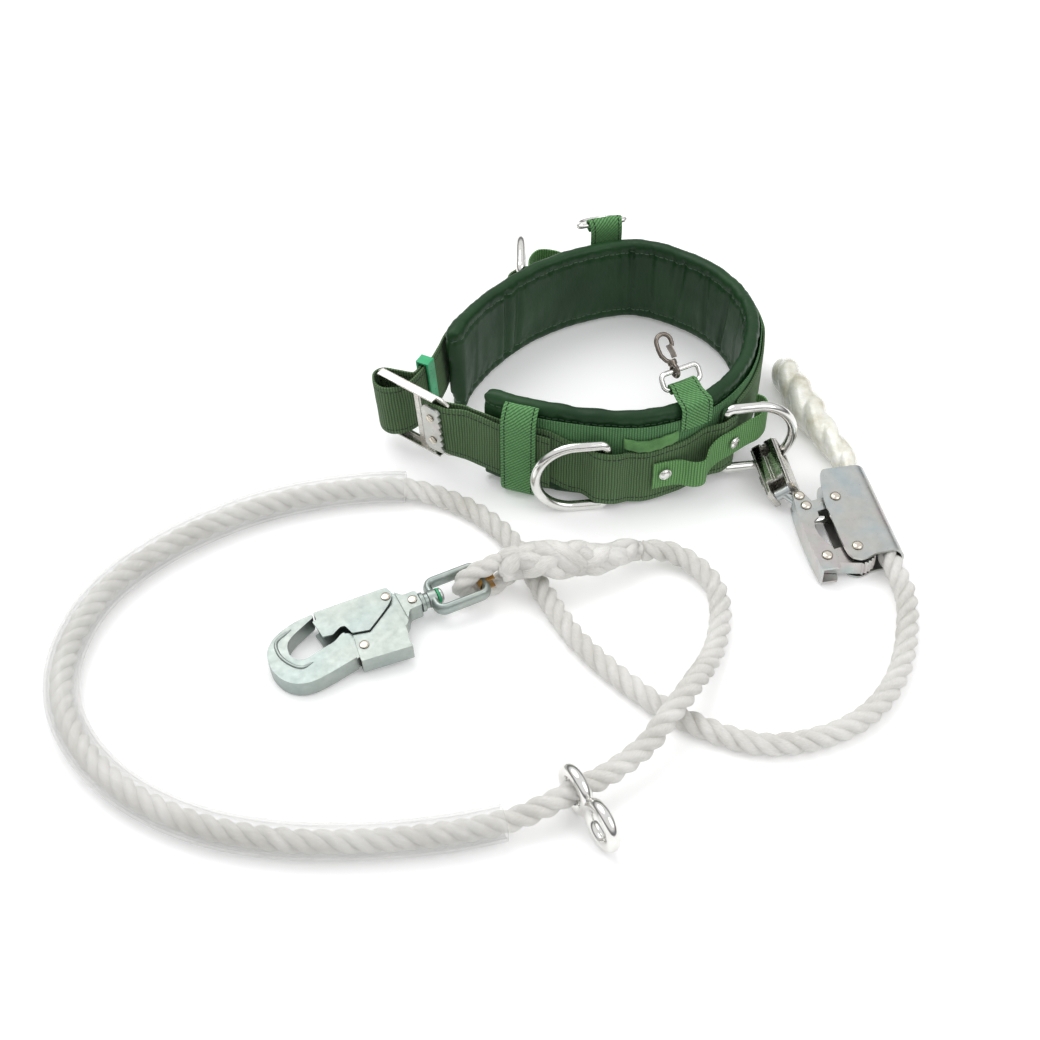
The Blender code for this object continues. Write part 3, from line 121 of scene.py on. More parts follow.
# The rope's route from the grip's upper mouth, through the grip and the clear sleeve, through the
# figure-8 ring and over itself, to the eye splice. Every point is the middle of the rope.
ROUTE = [
    (0.2038, -0.0180, 0.0110), (0.2117, -0.0629, 0.0110), (0.2200, -0.1102, 0.0110),
    (0.2260, -0.1480, 0.0086), (0.2170, -0.1960, 0.0083), (0.2010, -0.2310, 0.0083),
    (0.1770, -0.2570, 0.0083), (0.1440, -0.2730, 0.0083), (0.1060, -0.2770, 0.0083),
    (0.0640, -0.2600, 0.0083), (0.0290, -0.2330, 0.0083), (-0.0110, -0.1880, 0.0083),
    (-0.0360, -0.1400, 0.0083), (-0.0560, -0.0940, 0.0083), (-0.0820, -0.0620, 0.0083),
    (-0.1130, -0.0420, 0.0088), (-0.1480, -0.0350, 0.0125), (-0.2000, -0.0410, 0.0130),
    (-0.2570, -0.0600, 0.0130), (-0.3120, -0.0960, 0.0130), (-0.3520, -0.1430, 0.0130),
    (-0.3680, -0.1950, 0.0130), (-0.3640, -0.2430, 0.0130), (-0.3410, -0.2860, 0.0130),
    (-0.3040, -0.3210, 0.0130), (-0.2560, -0.3450, 0.0130), (-0.2040, -0.3560, 0.0130),
    (-0.1540, -0.3570, 0.0130), (-0.1040, -0.3520, 0.0130), (-0.0640, -0.3430, 0.0132),
    (-0.0390, -0.3340, 0.0165), (-0.0170, -0.3220, 0.0190), (0.0060, -0.3080, 0.0185),
    (0.0300, -0.2880, 0.0215), (0.0430, -0.2710, 0.0252), (0.0550, -0.2540, 0.0264),
    (0.0660, -0.2350, 0.0240), (0.0760, -0.2140, 0.0150), (0.0850, -0.1900, 0.0095),
    (0.0910, -0.1590, 0.0083), (0.0880, -0.1330, 0.0086), (0.0740, -0.1130, 0.0100),
    (0.0560, -0.1040, 0.0130), (0.0370, -0.1060, 0.0165),
]
SLEEVE_FROM = (-0.1420, -0.0358)  # where the sleeve starts and ends on the route, from above
SLEEVE_TO = (-0.0640, -0.3430)
FIGURE8_AT = Vector((-0.0170, -0.3220, 0.0190))

EYE_SPLICE = [
    (0.0359, -0.1061, 0.0167, 0.0085), (0.0279, -0.1070, 0.0182, 0.0102),
    (0.0200, -0.1125, 0.0198, 0.0114), (0.0060, -0.1190, 0.0225, 0.0125),
    (-0.0130, -0.1260, 0.0275, 0.0138), (-0.0270, -0.1285, 0.0308, 0.0142),
    (-0.0400, -0.1290, 0.0318, 0.0142), (-0.0530, -0.1295, 0.0290, 0.0138),
    (-0.0650, -0.1310, 0.0235, 0.0130),
]
TAIL_SPLICE = [
    (0.2037, -0.0174, 0.0110, 0.0085), (0.2020, -0.0080, 0.0112, 0.0098),
    (0.1988, 0.0020, 0.0122, 0.0112), (0.1940, 0.0140, 0.0136, 0.0125),
    (0.1860, 0.0340, 0.0142, 0.0135), (0.1780, 0.0580, 0.0142, 0.0135),
    (0.1710, 0.0840, 0.0138, 0.0128), (0.1670, 0.1060, 0.0128, 0.0115),
    (0.1655, 0.1170, 0.0122, 0.0080),
]

# ------------------------------------------------------------------ places of the hardware
BUCKLE_CENTRE = Vector((-0.1305, 0.0180, 0.0460))
BUCKLE_ANGLE = math.radians(-37.8)  # from +X to the buckle's length, seen from above
BUCKLE_HALF_HEIGHT = 0.031
BUCKLE_WINDOW = 0.0263  # half height of its windows

GRIP_CENTRE = Vector((0.194, -0.066, 0.0))
GRIP_ANGLE = math.radians(-80.0)
GRIP_LOW = 0.0006  # underside of the grip's housing
GRIP_HIGH = 0.0214
GRIP_PLATE = 0.0018
ROPE_LANE = 0.018  # sideways from the grip's centre to the rope
ARM_NECK_PIVOT = (-0.0210, -0.0318)
ARM_PIVOTS = [(-0.0098, -0.0298), (0.0430, -0.0298)]
HOUSING_PIVOTS = [(-0.0132, -0.0060), (0.0396, -0.0060)]

HOOK_CENTRE = Vector((-0.178, -0.193, 0.0101))
HOOK_ANGLE = math.radians(25.0)
HOOK_TILT = math.radians(3.4)  # nose on the floor, swivel end up on the spliced eye
SWIVEL_SIDE = 0.011  # sideways from the hook's centre to its swivel axis
EYE_BAR = 0.1125  # from the hook's centre to the bar that the rope loops round

FIGURE8_LONG = Vector((0.499, -0.866, 0.0)).normalized()  # square to the rope

# ------------------------------------------------------------------ materials


class Surface:
    """A principled material and short ways to wire its texture nodes."""

    def __init__(self, name, roughness, metallic=0.0):
        self.made = bpy.data.materials.new(name)
        self.made.use_nodes = True
        self.tree = self.made.node_tree
        self.shader = self.tree.nodes["Principled BSDF"]
        self.shader.inputs["Roughness"].default_value = roughness
        self.shader.inputs["Metallic"].default_value = metallic
        self.places = self.tree.nodes.new("ShaderNodeTexCoord")

    def add(self, kind, inputs=None, **settings):
        made = self.tree.nodes.new(kind)
        for key, value in settings.items():
            setattr(made, key, value)
        for key, value in (inputs or {}).items():
            self.put(made.inputs[key], value)
        return made

    def put(self, socket, value):
        if isinstance(value, bpy.types.NodeSocket):
            self.tree.links.new(value, socket)
        else:
            socket.default_value = value

    def maths(self, operation, a, b=0.0):
        return self.add("ShaderNodeMath", {0: a, 1: b}, operation=operation).outputs[0]

    def times(self, a, b):
        return self.maths("MULTIPLY", a, b)

    def plus(self, a, b):
        return self.maths("ADD", a, b)

    def size_of(self, a):
        return self.maths("ABSOLUTE", a)

    def noise(self, scale, detail=3.0, rough=0.5, where="Object", stretch=None):
        coordinate = self.places.outputs[where]
        if stretch:
            coordinate = self.add(
                "ShaderNodeMapping", {"Vector": coordinate, "Scale": stretch}
            ).outputs[0]
        made = self.add(
            "ShaderNodeTexNoise",
            {"Vector": coordinate, "Scale": scale, "Detail": detail, "Roughness": rough},
        )
        return made.outputs["Fac"]

    def ramp(self, factor, stops):
        made = self.add("ShaderNodeValToRGB", {"Fac": factor})
        ramp = made.color_ramp
        while len(ramp.elements) < len(stops):
            ramp.elements.new(0.5)
        for element, (at, colour) in zip(ramp.elements, stops):
            element.position = at
            element.color = (*colour, 1.0)
        return made.outputs["Color"]

    def span(self, value, low, high, new_low=0.0, new_high=1.0):
        made = self.add(
            "ShaderNodeMapRange",
            {"Value": value, "From Min": low, "From Max": high, "To Min": new_low, "To Max": new_high},
            interpolation_type="SMOOTHSTEP",
        )
        return made.outputs["Result"]

    def mix(self, factor, a, b, blend="MIX"):
        made = self.tree.nodes.new("ShaderNodeMix")
        made.data_type = "RGBA"
        made.blend_type = blend
        self.put(made.inputs[0], factor)
        for socket, value in ((made.inputs[6], a), (made.inputs[7], b)):
            self.put(socket, value if isinstance(value, bpy.types.NodeSocket) else (*value, 1.0))
        return made.outputs[2]

    def bump(self, height, distance, strength=1.0, under=None):
        inputs = {"Height": height, "Distance": distance, "Strength": strength}
        if under is not None:
            inputs["Normal"] = under
        return self.add("ShaderNodeBump", inputs).outputs["Normal"]

    def fix(self, **constants):
        """Sets the shader's own sockets: sheen_weight=0.2 is its Sheen Weight."""
        for key, value in constants.items():
            name = key.replace("_", " ").title().replace("Ior", "IOR")
            self.shader.inputs[name].default_value = value

    def finish(self, colour, normal=None, roughness=None):
        for key, value in (("Base Color", colour), ("Normal", normal), ("Roughness", roughness)):
            if value is not None:
                self.put(self.shader.inputs[key], value)
        return self.made


MADE = {}


def once(build):
    """Each material is made the first time that it is asked for."""

    def wrapped():
        if build.__name__ not in MADE:
            MADE[build.__name__] = build()
        return MADE[build.__name__]

    return wrapped


def stitches(s, along, across, at, pitch=0.0036, wide=0.00045):
    """1 on the thread of a row of stitches at one distance across, and 0 elsewhere."""
    off = s.size_of(s.maths("SUBTRACT", across, at))
    row = s.span(off, wide * 1.25, wide * 0.75)
    phase = s.maths("FRACT", s.maths("DIVIDE", along, pitch))
    gap = s.size_of(s.maths("SUBTRACT", phase, 0.5))
    dash = s.span(gap, 0.40, 0.33)
    return s.times(row, dash)


def ruler(s):
    """Metres along and across, from the piece's UVs."""
    parts = s.add("ShaderNodeSeparateXYZ", {"Vector": s.places.outputs["UV"]})
    return parts.outputs["X"], parts.outputs["Y"]


def woven(name, dark, light, pitch, slant, rows, roughness=0.85, sheen=0.04, depth=0.00045):
    """Webbing: cords at a pitch along a slanted direction, crossed by fine picks, with stitch rows.
    The UV map holds metres along the webbing and across it."""
    s = Surface(name, roughness)
    along, across = ruler(s)
    lean = s.plus(along, s.times(across, slant))
    wobble = s.times(s.noise(90.0, 2.0), pitch * 0.5)
    turn = s.maths("DIVIDE", s.plus(lean, wobble), pitch)
    cords = s.size_of(s.maths("SINE", s.times(turn, math.pi)))
    row = s.times(s.maths("FLOOR", turn), 0.5)
    pick = s.plus(s.maths("DIVIDE", across, pitch * 0.9), row)
    picks = s.size_of(s.maths("SINE", s.times(pick, math.pi)))
    height = s.times(cords, s.plus(s.times(picks, 0.40), 0.60))
    fibres = s.noise(1400.0, 2.0, 0.7)
    # The colour follows the weave's height: the gaps between cords are painted darker as shade, and the fibre
    # and broad noise add the webbing's own tone.
    shade = s.plus(s.times(height, 0.75), s.times(fibres, 0.35))
    broad = s.noise(28.0, 4.0)
    shade = s.plus(shade, s.times(s.maths("SUBTRACT", broad, 0.5), 0.35))
    colour = s.ramp(shade, [(0.05, dark), (0.85, light)])
    thread = None
    for at in rows:
        row = stitches(s, along, across, at)
        thread = row if thread is None else s.maths("MAXIMUM", thread, row)
    if thread is not None:
        colour = s.mix(thread, colour, tuple(x * 0.45 for x in dark))
        height = s.plus(height, s.times(thread, 0.9))
    s.fix(sheen_weight=sheen, sheen_roughness=0.4)
    return s.finish(colour, s.bump(height, depth, 0.9))


@once
def belt_webbing():
    return woven("belt_webbing", (0.006, 0.018, 0.006), (0.095, 0.180, 0.070), 0.0022, 0.0, (0.0455, 0.0045))


@once
def pad_web():
    return woven("pad_web", (0.006, 0.030, 0.010), (0.095, 0.245, 0.090), 0.0021, 0.0, (0.0015,))


@once
def light_webbing():
    return woven("light_webbing", (0.008, 0.040, 0.010), (0.135, 0.345, 0.120), 0.0028, 0.9, (0.0028, 0.0232))


@once
def strap_web():
    return woven("strap_web", (0.016, 0.060, 0.014), (0.165, 0.380, 0.125), 0.0022, 0.0, ())


@once
def pad_vinyl():
    """Soft leathercloth: grain, puckers drawn in at the stitches, long folds, and gloss worn in patches."""
    s = Surface("pad_vinyl", 0.40)
    s.fix(specular_ior_level=0.22)
    along, high = ruler(s)
    grain = s.noise(900.0, 3.0, 0.6)
    broad = s.noise(16.0, 3.0)
    colour = s.ramp(broad, [(0.30, (0.009, 0.036, 0.012)), (0.72, (0.018, 0.062, 0.020))])
    seams = (SEAM_LOW, SEAM_HIGH)
    thread = s.maths("MAXIMUM", *[stitches(s, along, high, at, 0.0050, 0.0005) for at in seams])
    colour = s.mix(thread, colour, (0.085, 0.150, 0.090))
    gaps = [s.size_of(s.maths("SUBTRACT", high, at)) for at in seams]
    pull = s.span(s.maths("MINIMUM", *gaps), 0.0110, 0.0)
    waves = s.times(along, 2 * math.pi / 0.0100)
    pucker = s.maths("SINE", s.plus(waves, s.times(s.noise(70.0, 3.0), 7.0)))
    folds = s.noise(1.0, 4.0, 0.6, "UV", (120.0, 22.0, 1.0))
    height = s.times(s.times(pucker, pull), 0.30)
    height = s.plus(height, s.times(folds, 0.9))
    height = s.plus(height, s.times(thread, 0.25))
    fine = s.bump(grain, 0.00012, 0.5)
    worn = s.span(s.noise(45.0, 5.0), 0.25, 0.75, 0.34, 0.50)
    return s.finish(colour, s.bump(height, 0.0011, 0.8, fine), worn)


@once
def zinc_plate():
    """Bright zinc plating with the faint rainbow of its passivation."""
    s = Surface("zinc_plate", 0.34, 1.0)
    rainbow = [(0.32, (0.40, 0.52, 0.57)), (0.44, (0.54, 0.57, 0.55)), (0.54, (0.57, 0.55, 0.48))]
    rainbow += [(0.64, (0.60, 0.49, 0.48)), (0.74, (0.46, 0.56, 0.52))]
    tint = s.ramp(s.noise(26.0, 2.0, 0.6), rainbow)
    greys = [(0.30, (0.44, 0.46, 0.455)), (0.70, (0.58, 0.60, 0.585))]
    cloud = s.ramp(s.noise(110.0, 5.0, 0.65), greys)
    colour = s.mix(0.42, cloud, tint)
    scratch = s.noise(1.0, 3.0, 0.7, "Object", (420.0, 2600.0, 900.0))
    rough = s.span(s.noise(150.0, 5.0, 0.7), 0.25, 0.75, 0.25, 0.42)
    return s.finish(colour, s.bump(scratch, 0.00005, 0.5), rough)


@once
def hook_zinc():
    """The duller, pitted zinc of the forged hook."""
    s = Surface("hook_zinc", 0.5, 1.0)
    greys = [(0.28, (0.30, 0.345, 0.325)), (0.72, (0.43, 0.475, 0.45))]
    cloud = s.ramp(s.noise(120.0, 6.0, 0.7), greys)
    tint = s.ramp(s.noise(30.0, 2.0), [(0.35, (0.33, 0.40, 0.385)), (0.65, (0.42, 0.44, 0.395))])
    colour = s.mix(0.35, cloud, tint)
    pits = s.noise(1500.0, 3.0, 0.7)
    rough = s.span(s.noise(180.0, 5.0, 0.7), 0.25, 0.75, 0.34, 0.50)
    return s.finish(colour, s.bump(pits, 0.00007, 0.6), rough)


SCRATCHED = (300.0, 1500.0, 2200.0)  # stretches a noise into fine brush marks


def clouded(name, metallic, cloud, dark, light, rough, grain, depth, strength=0.5):
    """Metal or moulded plastic: a cloudy colour, an uneven gloss, and a fine grain or brush marks.
    cloud and rough start with their noise's scale; rough goes on with its least and most."""
    s = Surface(name, rough[1], metallic)
    colour = s.ramp(s.noise(cloud, 4.0), [(0.30, dark), (0.70, light)])
    gloss = s.span(s.noise(rough[0], 5.0, 0.7), 0.30, 0.75, rough[1], rough[2])
    height = s.noise(grain, 3.0) if grain else s.noise(1.0, 3.0, 0.7, "Object", SCRATCHED)
    return s.finish(colour, s.bump(height, depth, strength), gloss)


@once
def polished_steel():
    colours = (0.70, 0.69, 0.66), (0.84, 0.84, 0.82)
    return clouded("polished_steel", 1.0, 60.0, *colours, (240.0, 0.06, 0.20), None, 0.00002, 0.4)


@once
def rivet_steel():
    colours = (0.60, 0.54, 0.45), (0.80, 0.75, 0.66)
    return clouded("rivet_steel", 1.0, 160.0, *colours, (300.0, 0.14, 0.30), 900.0, 0.00006)


@once
def satin_steel():
    colours = (0.50, 0.48, 0.44), (0.68, 0.67, 0.63)
    return clouded("satin_steel", 1.0, 90.0, *colours, (260.0, 0.20, 0.36), None, 0.00004)


@once
def gunmetal():
    colours = (0.10, 0.085, 0.07), (0.25, 0.22, 0.19)
    return clouded("gunmetal", 1.0, 120.0, *colours, (300.0, 0.18, 0.36), 900.0, 0.00005)


@once
def green_plastic():
    colours = (0.018, 0.300, 0.110), (0.045, 0.480, 0.210)
    return clouded("green_plastic", 0.0, 80.0, *colours, (260.0, 0.26, 0.44), 1100.0, 0.00006)


@once
def amber_plastic():
    colours = (0.24, 0.11, 0.018), (0.50, 0.27, 0.055)
    return clouded("amber_plastic", 0.0, 140.0, *colours, (260.0, 0.24, 0.46), 400.0, 0.0002)


@once
def white_nylon():
    s = Surface("white_nylon", 0.55)
    along, around = ruler(s)
    slanted = s.plus(around, s.times(along, 0.18))
    yarn = s.maths("SINE", s.times(slanted, 2 * math.pi / 0.00085))
    fibre = s.noise(1.0, 3.0, 0.6, "UV", (260.0, 2600.0, 1.0))
    height = s.plus(s.times(yarn, 0.30), fibre)
    broad = s.noise(30.0, 3.0)
    shade = s.plus(s.times(fibre, 0.5), s.times(broad, 0.5))
    colour = s.ramp(shade, [(0.28, (0.62, 0.60, 0.54)), (0.58, (0.90, 0.89, 0.85))])
    s.fix(
        sheen_weight=0.2,
        subsurface_weight=0.15,
        subsurface_radius=(0.003, 0.003, 0.003),
        subsurface_scale=1.0,
    )
    return s.finish(colour, s.bump(height, 0.00055, 0.9))


@once
def film():
    """Rope strands under a tight, shiny, slightly yellowed film."""
    s = Surface("film", 0.26)
    strands = s.noise(60.0, 4.0, 0.6)
    stops = [(0.30, (0.60, 0.57, 0.44)), (0.52, (0.80, 0.79, 0.71)), (0.70, (0.90, 0.90, 0.85))]
    colour = s.ramp(strands, stops)
    crinkle = s.noise(170.0, 5.0, 0.65)
    s.fix(
        coat_weight=0.8,
        coat_roughness=0.10,
        subsurface_weight=0.25,
        subsurface_radius=(0.004, 0.004, 0.003),
        subsurface_scale=1.0,
    )
    return s.finish(colour, s.bump(crinkle, 0.0012, 0.7))


@once
def clear_pvc():
    s = Surface("clear_pvc", 0.12)
    colour = s.ramp(s.noise(25.0, 3.0), [(0.30, (0.70, 0.71, 0.69)), (0.70, (0.82, 0.82, 0.80))])
    rim = s.add("ShaderNodeLayerWeight", {"Blend": 0.22}).outputs["Facing"]
    smear = s.noise(1.0, 3.0, 0.6, "Object", (38.0, 38.0, 60.0))
    cover = s.plus(s.span(rim, 0.05, 0.9, 0.06, 0.80), s.times(smear, 0.12))
    s.put(s.shader.inputs["Alpha"], cover)
    s.fix(coat_weight=1.0, coat_roughness=0.08)
    rough = s.span(s.noise(220.0, 5.0, 0.7), 0.30, 0.75, 0.08, 0.20)
    return s.finish(colour, s.bump(s.noise(55.0, 3.0), 0.0006, 0.4), rough)


# ------------------------------------------------------------------ shapes


def lay_out(name, mesh, finish, place=None):
    """Puts a mesh into the scene as the look of a CAD node."""
    obj = bpy.data.objects.new(name + "_look", mesh)
    bpy.context.scene.collection.objects.link(obj)
    obj.data.materials.append(finish)
    if place is not None:
        obj.matrix_world = place
    LOOKS[name] = obj
    return obj


def node(name, shape, finish, place=None, sharp=40.0):
    """The piece that stands for one CAD node, from a bmesh."""
    bmesh.ops.recalc_face_normals(shape, faces=shape.faces)
    mesh = bpy.data.meshes.new(name + "_look")
    shape.to_mesh(mesh)
    shape.free()
    mesh.shade_smooth()
    mesh.set_sharp_from_angle(angle=math.radians(sharp))
    return lay_out(name, mesh, finish, place)


def cut(obj, shape, operation="DIFFERENCE"):
    """Cuts, joins or trims a piece with a shape given in its own space."""
    bmesh.ops.recalc_face_normals(shape, faces=shape.faces)
    mesh = bpy.data.meshes.new(obj.name + "_cutter")
    shape.to_mesh(mesh)
    shape.free()
    tool = bpy.data.objects.new(obj.name + "_cutter", mesh)
    bpy.context.scene.collection.objects.link(tool)
    tool.matrix_world = obj.matrix_world
    step = obj.modifiers.new(operation.lower(), "BOOLEAN")
    step.operation = operation
    step.solver = "EXACT"
    step.object = tool


def spread(low, high, count):
    """Evenly spaced numbers from low to high."""
    return [low + (high - low) * i / (count - 1) for i in range(count)]


def rounded(outline, reach, closed=True, gentle=35.0):
    """An outline with its corners rounded: gentle bends become smooth, sharp ones get a small radius."""
    points = [Vector((*p, 0.0)) for p in outline]
    count = len(points)
    found = []
    for i, p in enumerate(points):
        if not closed and i in (0, count - 1):
            found.append((p.x, p.y))
            continue
        before, after = points[i - 1] - p, points[(i + 1) % count] - p
        bend = 180.0 - math.degrees(before.angle(after, math.pi))
        limit = 1.0 if bend < gentle else reach
        a = p + before.normalized() * min(limit, before.length * 0.48)
        b = p + after.normalized() * min(limit, after.length * 0.48)
        for t in spread(0.0, 1.0, 7):
            q = a.lerp(p, t).lerp(p.lerp(b, t), t)
            found.append((q.x, q.y))
    return found


def ribbon(name, grid, thick, finish):
    """Webbing through a grid of points, rows along it and columns across it, with metres as UVs."""
    rows, columns = len(grid), len(grid[0])
    shape = bmesh.new()
    layer = shape.loops.layers.uv.new("UVMap")
    middle = columns // 2
    along = [0.0]
    for a, b in zip(grid, grid[1:]):
        along.append(along[-1] + (b[middle] - a[middle]).length)
    across = [0.0]
    for a, b in zip(grid[0], grid[0][1:]):
        across.append(across[-1] + (b - a).length)
    sides = []
    for sign in (1, -1):
        made = []
        for i in range(rows):
            line = []
            for j in range(columns):
                u = grid[min(i + 1, rows - 1)][j] - grid[max(i - 1, 0)][j]
                v = grid[i][min(j + 1, columns - 1)] - grid[i][max(j - 1, 0)]
                normal = u.cross(v).normalized()
                edge = 0.72 if j in (0, columns - 1) else 1.0
                line.append(shape.verts.new(grid[i][j] + normal * (sign * edge * thick / 2)))
            made.append(line)
        sides.append(made)

    def face(corners, marks):
        made = shape.faces.new(corners)
        for loop, (u, v) in zip(made.loops, marks):
            loop[layer].uv = (along[u], across[v])
    for side, made in enumerate(sides):
        for i in range(rows - 1):
            for j in range(columns - 1):
                marks = [(i, j), (i + 1, j), (i + 1, j + 1), (i, j + 1)]
                if side:
                    marks.reverse()
                face([made[u][v] for u, v in marks], marks)
    edges = [[(i, j), (i + 1, j)] for j in (0, columns - 1) for i in range(rows - 1)]
    edges += [[(i, j), (i, j + 1)] for i in (0, rows - 1) for j in range(columns - 1)]
    for marks in edges:
        back = marks[::-1]
        corners = [sides[0][u][v] for u, v in marks] + [sides[1][u][v] for u, v in back]
        face(corners, marks + back)
    return node(name, shape, finish, None, 60.0)


def axes_at(origin, x_axis, y_axis, z_axis):
    """The frame with these axes at origin."""
    turn = Matrix((x_axis, y_axis, z_axis)).transposed()
    return Matrix.Translation(origin) @ turn.to_4x4()


def placed(origin, along, up):
    """A frame at origin with X along one direction and Z as near up as it allows."""
    x_axis = Vector(along).normalized()
    y_axis = Vector(up).cross(x_axis).normalized()
    return axes_at(origin, x_axis, y_axis, x_axis.cross(y_axis))


def resampled(points, step):
    """Points evenly spaced along a polyline, about step apart."""
    along = [0.0]
    for before, after in zip(points, points[1:]):
        along.append(along[-1] + (after - before).length)
    count = max(2, round(along[-1] / step) + 1)
    found = []
    k = 0
    for i in range(count):
        target = along[-1] * i / (count - 1)
        while k < len(along) - 2 and along[k + 1] < target:
            k += 1
        share = (target - along[k]) / max(along[k + 1] - along[k], 1e-12)
        found.append(points[k].lerp(points[k + 1], share))
    return found


def smooth_line(points, step):
    """A smooth curve through given points, with points about step apart on it."""
    knots = [Vector(p) for p in points]
    knots = [knots[0] * 2 - knots[1]] + knots + [knots[-1] * 2 - knots[-2]]
    fine = []
    for p0, p1, p2, p3 in zip(knots, knots[1:], knots[2:], knots[3:]):
        for i in range(12):
            t = i / 12
            straight = p1 * 2 + (p2 - p0) * t
            bent = (p0 * 2 - p1 * 5 + p2 * 4 - p3) * t**2 + (p1 * 3 - p0 - p2 * 3 + p3) * t**3
            fine.append((straight + bent) / 2)
    fine.append(knots[-2])
    return resampled(fine, step)


def skin(rings, closed=False):
    """A closed surface through rings of points, capped at both ends unless it closes on itself."""
    shape = bmesh.new()
    made = [[shape.verts.new(p) for p in ring] for ring in rings]
    pairs = list(zip(made, made[1:]))
    if closed:
        pairs.append((made[-1], made[0]))
    for first, second in pairs:
        for i in range(len(first)):
            j = (i + 1) % len(first)
            shape.faces.new((first[i], first[j], second[j], second[i]))
    if not closed:
        shape.faces.new(made[0])
        shape.faces.new(reversed(made[-1]))
    return shape


def prism(outline, low, high):
    """An outline in X and Y carried from one height to another."""
    return skin([[Vector((x, y, z)) for x, y in outline] for z in (low, high)])


def shifted(shape, step):
    """A shape moved by a step."""
    bmesh.ops.translate(shape, vec=step, verts=shape.verts)
    return shape


def box(low, high):
    """An upright box between two corners."""
    corners = [(low[0], low[1]), (high[0], low[1]), (high[0], high[1]), (low[0], high[1])]
    return prism(corners, low[2], high[2])


def circle(centre, radius, sides):
    """Points round a circle, with a flat at the start."""
    turn = [2 * math.pi * (i + 0.5) / sides for i in range(sides)]
    return [(centre[0] + radius * math.cos(a), centre[1] + radius * math.sin(a)) for a in turn]


def arc(centre, radius, start, end, count):
    """Points on an arc, angles in degrees."""
    count = (count - 1) * 3 + 1
    turn = [math.radians(start + (end - start) * i / (count - 1)) for i in range(count)]
    return [(centre[0] + radius * math.cos(a), centre[1] + radius * math.sin(a)) for a in turn]


def turned(profile, sides=12, axis="Z"):
    """A profile of (radius, distance) turned about an axis through the origin."""
    sides *= 3
    rings = []
    for radius, along in profile:
        ring = []
        for x, y in circle((0, 0), radius, sides):
            ring.append(Vector((x, y, along)) if axis == "Z" else Vector((along, x, y)))
        rings.append(ring)
    return skin(rings)


def carried(path, closed=False):
    """Every point of a path with two directions square to it, carried along without twisting."""
    last = len(path) - 1
    side = None
    for i, p in enumerate(path):
        ahead = path[(i + 1) % len(path)] if closed else path[min(i + 1, last)]
        behind = path[i - 1] if closed or i else path[0]
        along = (ahead - behind).normalized()
        if side is None:
            helper = Vector((0, 0, 1)) if abs(along.z) < 0.9 else Vector((1, 0, 0))
            side = along.cross(helper)
        side = (side - along * side.dot(along)).normalized()
        yield p, side, along.cross(side)


def tube(path, radii, sides=8, closed=False):
    """A round rod along a path; radii is one radius or one for each point."""
    path = [Vector(p) for p in path]
    if not hasattr(radii, "__len__"):
        radii = [radii] * len(path)
    rings = []
    for (p, side, up), radius in zip(carried(path, closed), radii):
        turn = circle((0, 0), radius, sides * 2)
        rings.append([p + (side * x + up * y) for x, y in turn])
    return skin(rings, closed)


def thickened(line, thick):
    """The closed outline of a folded strip: a polyline in two dimensions, given a thickness."""
    points = [Vector((*p, 0.0)) for p in line]
    left, right = [], []
    for i, p in enumerate(points):
        into = (p - points[i - 1]).normalized() if i else None
        out = (points[i + 1] - p).normalized() if i < len(points) - 1 else None
        into, out = into or out, out or into
        half = (into + out).normalized()
        normal = Vector((-half.y, half.x, 0.0))
        reach = thick / 2 / max(0.5, half.dot(into))
        left.append(p + normal * reach)
        right.append(p - normal * reach)
    return [(p.x, p.y) for p in left + right[::-1]]


FACE = smooth_line([(x, y, 0.0) for x, y in PAD_FACE], 0.004)
FACE_STEP = sum((b - a).length for a, b in zip(FACE, FACE[1:])) / (len(FACE) - 1)
FACE_LENGTH = FACE_STEP * (len(FACE) - 1)


def face_point(distance):
    """The point of the pad's outer face at a distance along it."""
    k = min(max(int(distance / FACE_STEP), 0), len(FACE) - 2)
    return FACE[k].lerp(FACE[k + 1], distance / FACE_STEP - k)


def face_frame(distance):
    """The point at a distance along the face, its direction, and its outward normal."""
    inside = min(max(distance, 0.005), FACE_LENGTH - 0.005)
    along = (face_point(inside + 0.005) - face_point(inside - 0.005)).normalized()
    return face_point(distance), along, Vector((along.y, -along.x, 0.0))


def on_face(distance, out, height=0.0):
    """A point at a distance along the face, so far out of it, and so high."""
    point, _, normal = face_frame(distance)
    return point + normal * out + Vector((0.0, 0.0, height))


def ease(value, low, high):
    """0 below low, 1 above high, and a smooth climb between."""
    t = min(max((value - low) / (high - low), 0.0), 1.0)
    return t * t * (3 - 2 * t)


def settled(point):
    """The far wall and the buckle end lean: their tops tip towards the near side."""
    far = ease(point.y, 0.060, 0.150)
    near = (1 - far) * ease(-point.x, 0.092, 0.108)
    x = point.x + BUCKLE_LEAN[0] * near * point.z
    y = point.y + (BUCKLE_LEAN[1] * near - LEAN * far) * point.z
    return Vector((x, y, point.z))


def belt_low(distance):
    """The height of the main belt's lower edge."""
    for (a, low_a), (b, low_b) in zip(BELT_LOW, BELT_LOW[1:]):
        if distance <= b:
            return low_a + (low_b - low_a) * ease(distance, a, b)
    return BELT_LOW[-1][1]


def strip_grid(distances, offsets, heights):
    """Points for upright webbing on the pad's face: a row for each distance, a column for each height."""
    return [[settled(on_face(d, o, h)) for h in heights(d)] for d, o in zip(distances, offsets)]




# ------------------------------------------------------------------ the pad


def measure(point):
    """How far along the pad's face a point lies."""
    best, place = 1e9, 0.0
    for i in range(0, len(FACE), 2):
        gap = (FACE[i].x - point.x) ** 2 + (FACE[i].y - point.y) ** 2
        if gap < best:
            best, place = gap, i
    return FACE_STEP * place


def unsettled(point):
    """The upright place that leans to this one."""
    found = point.copy()
    for _ in range(3):
        found += point - settled(found)
    found.z = point.z
    return found


PAD_VOXEL = 0.0042
SWELL_FRAMES = 20
SWELL_MOST = 0.0028  # how far the simulation may move a point
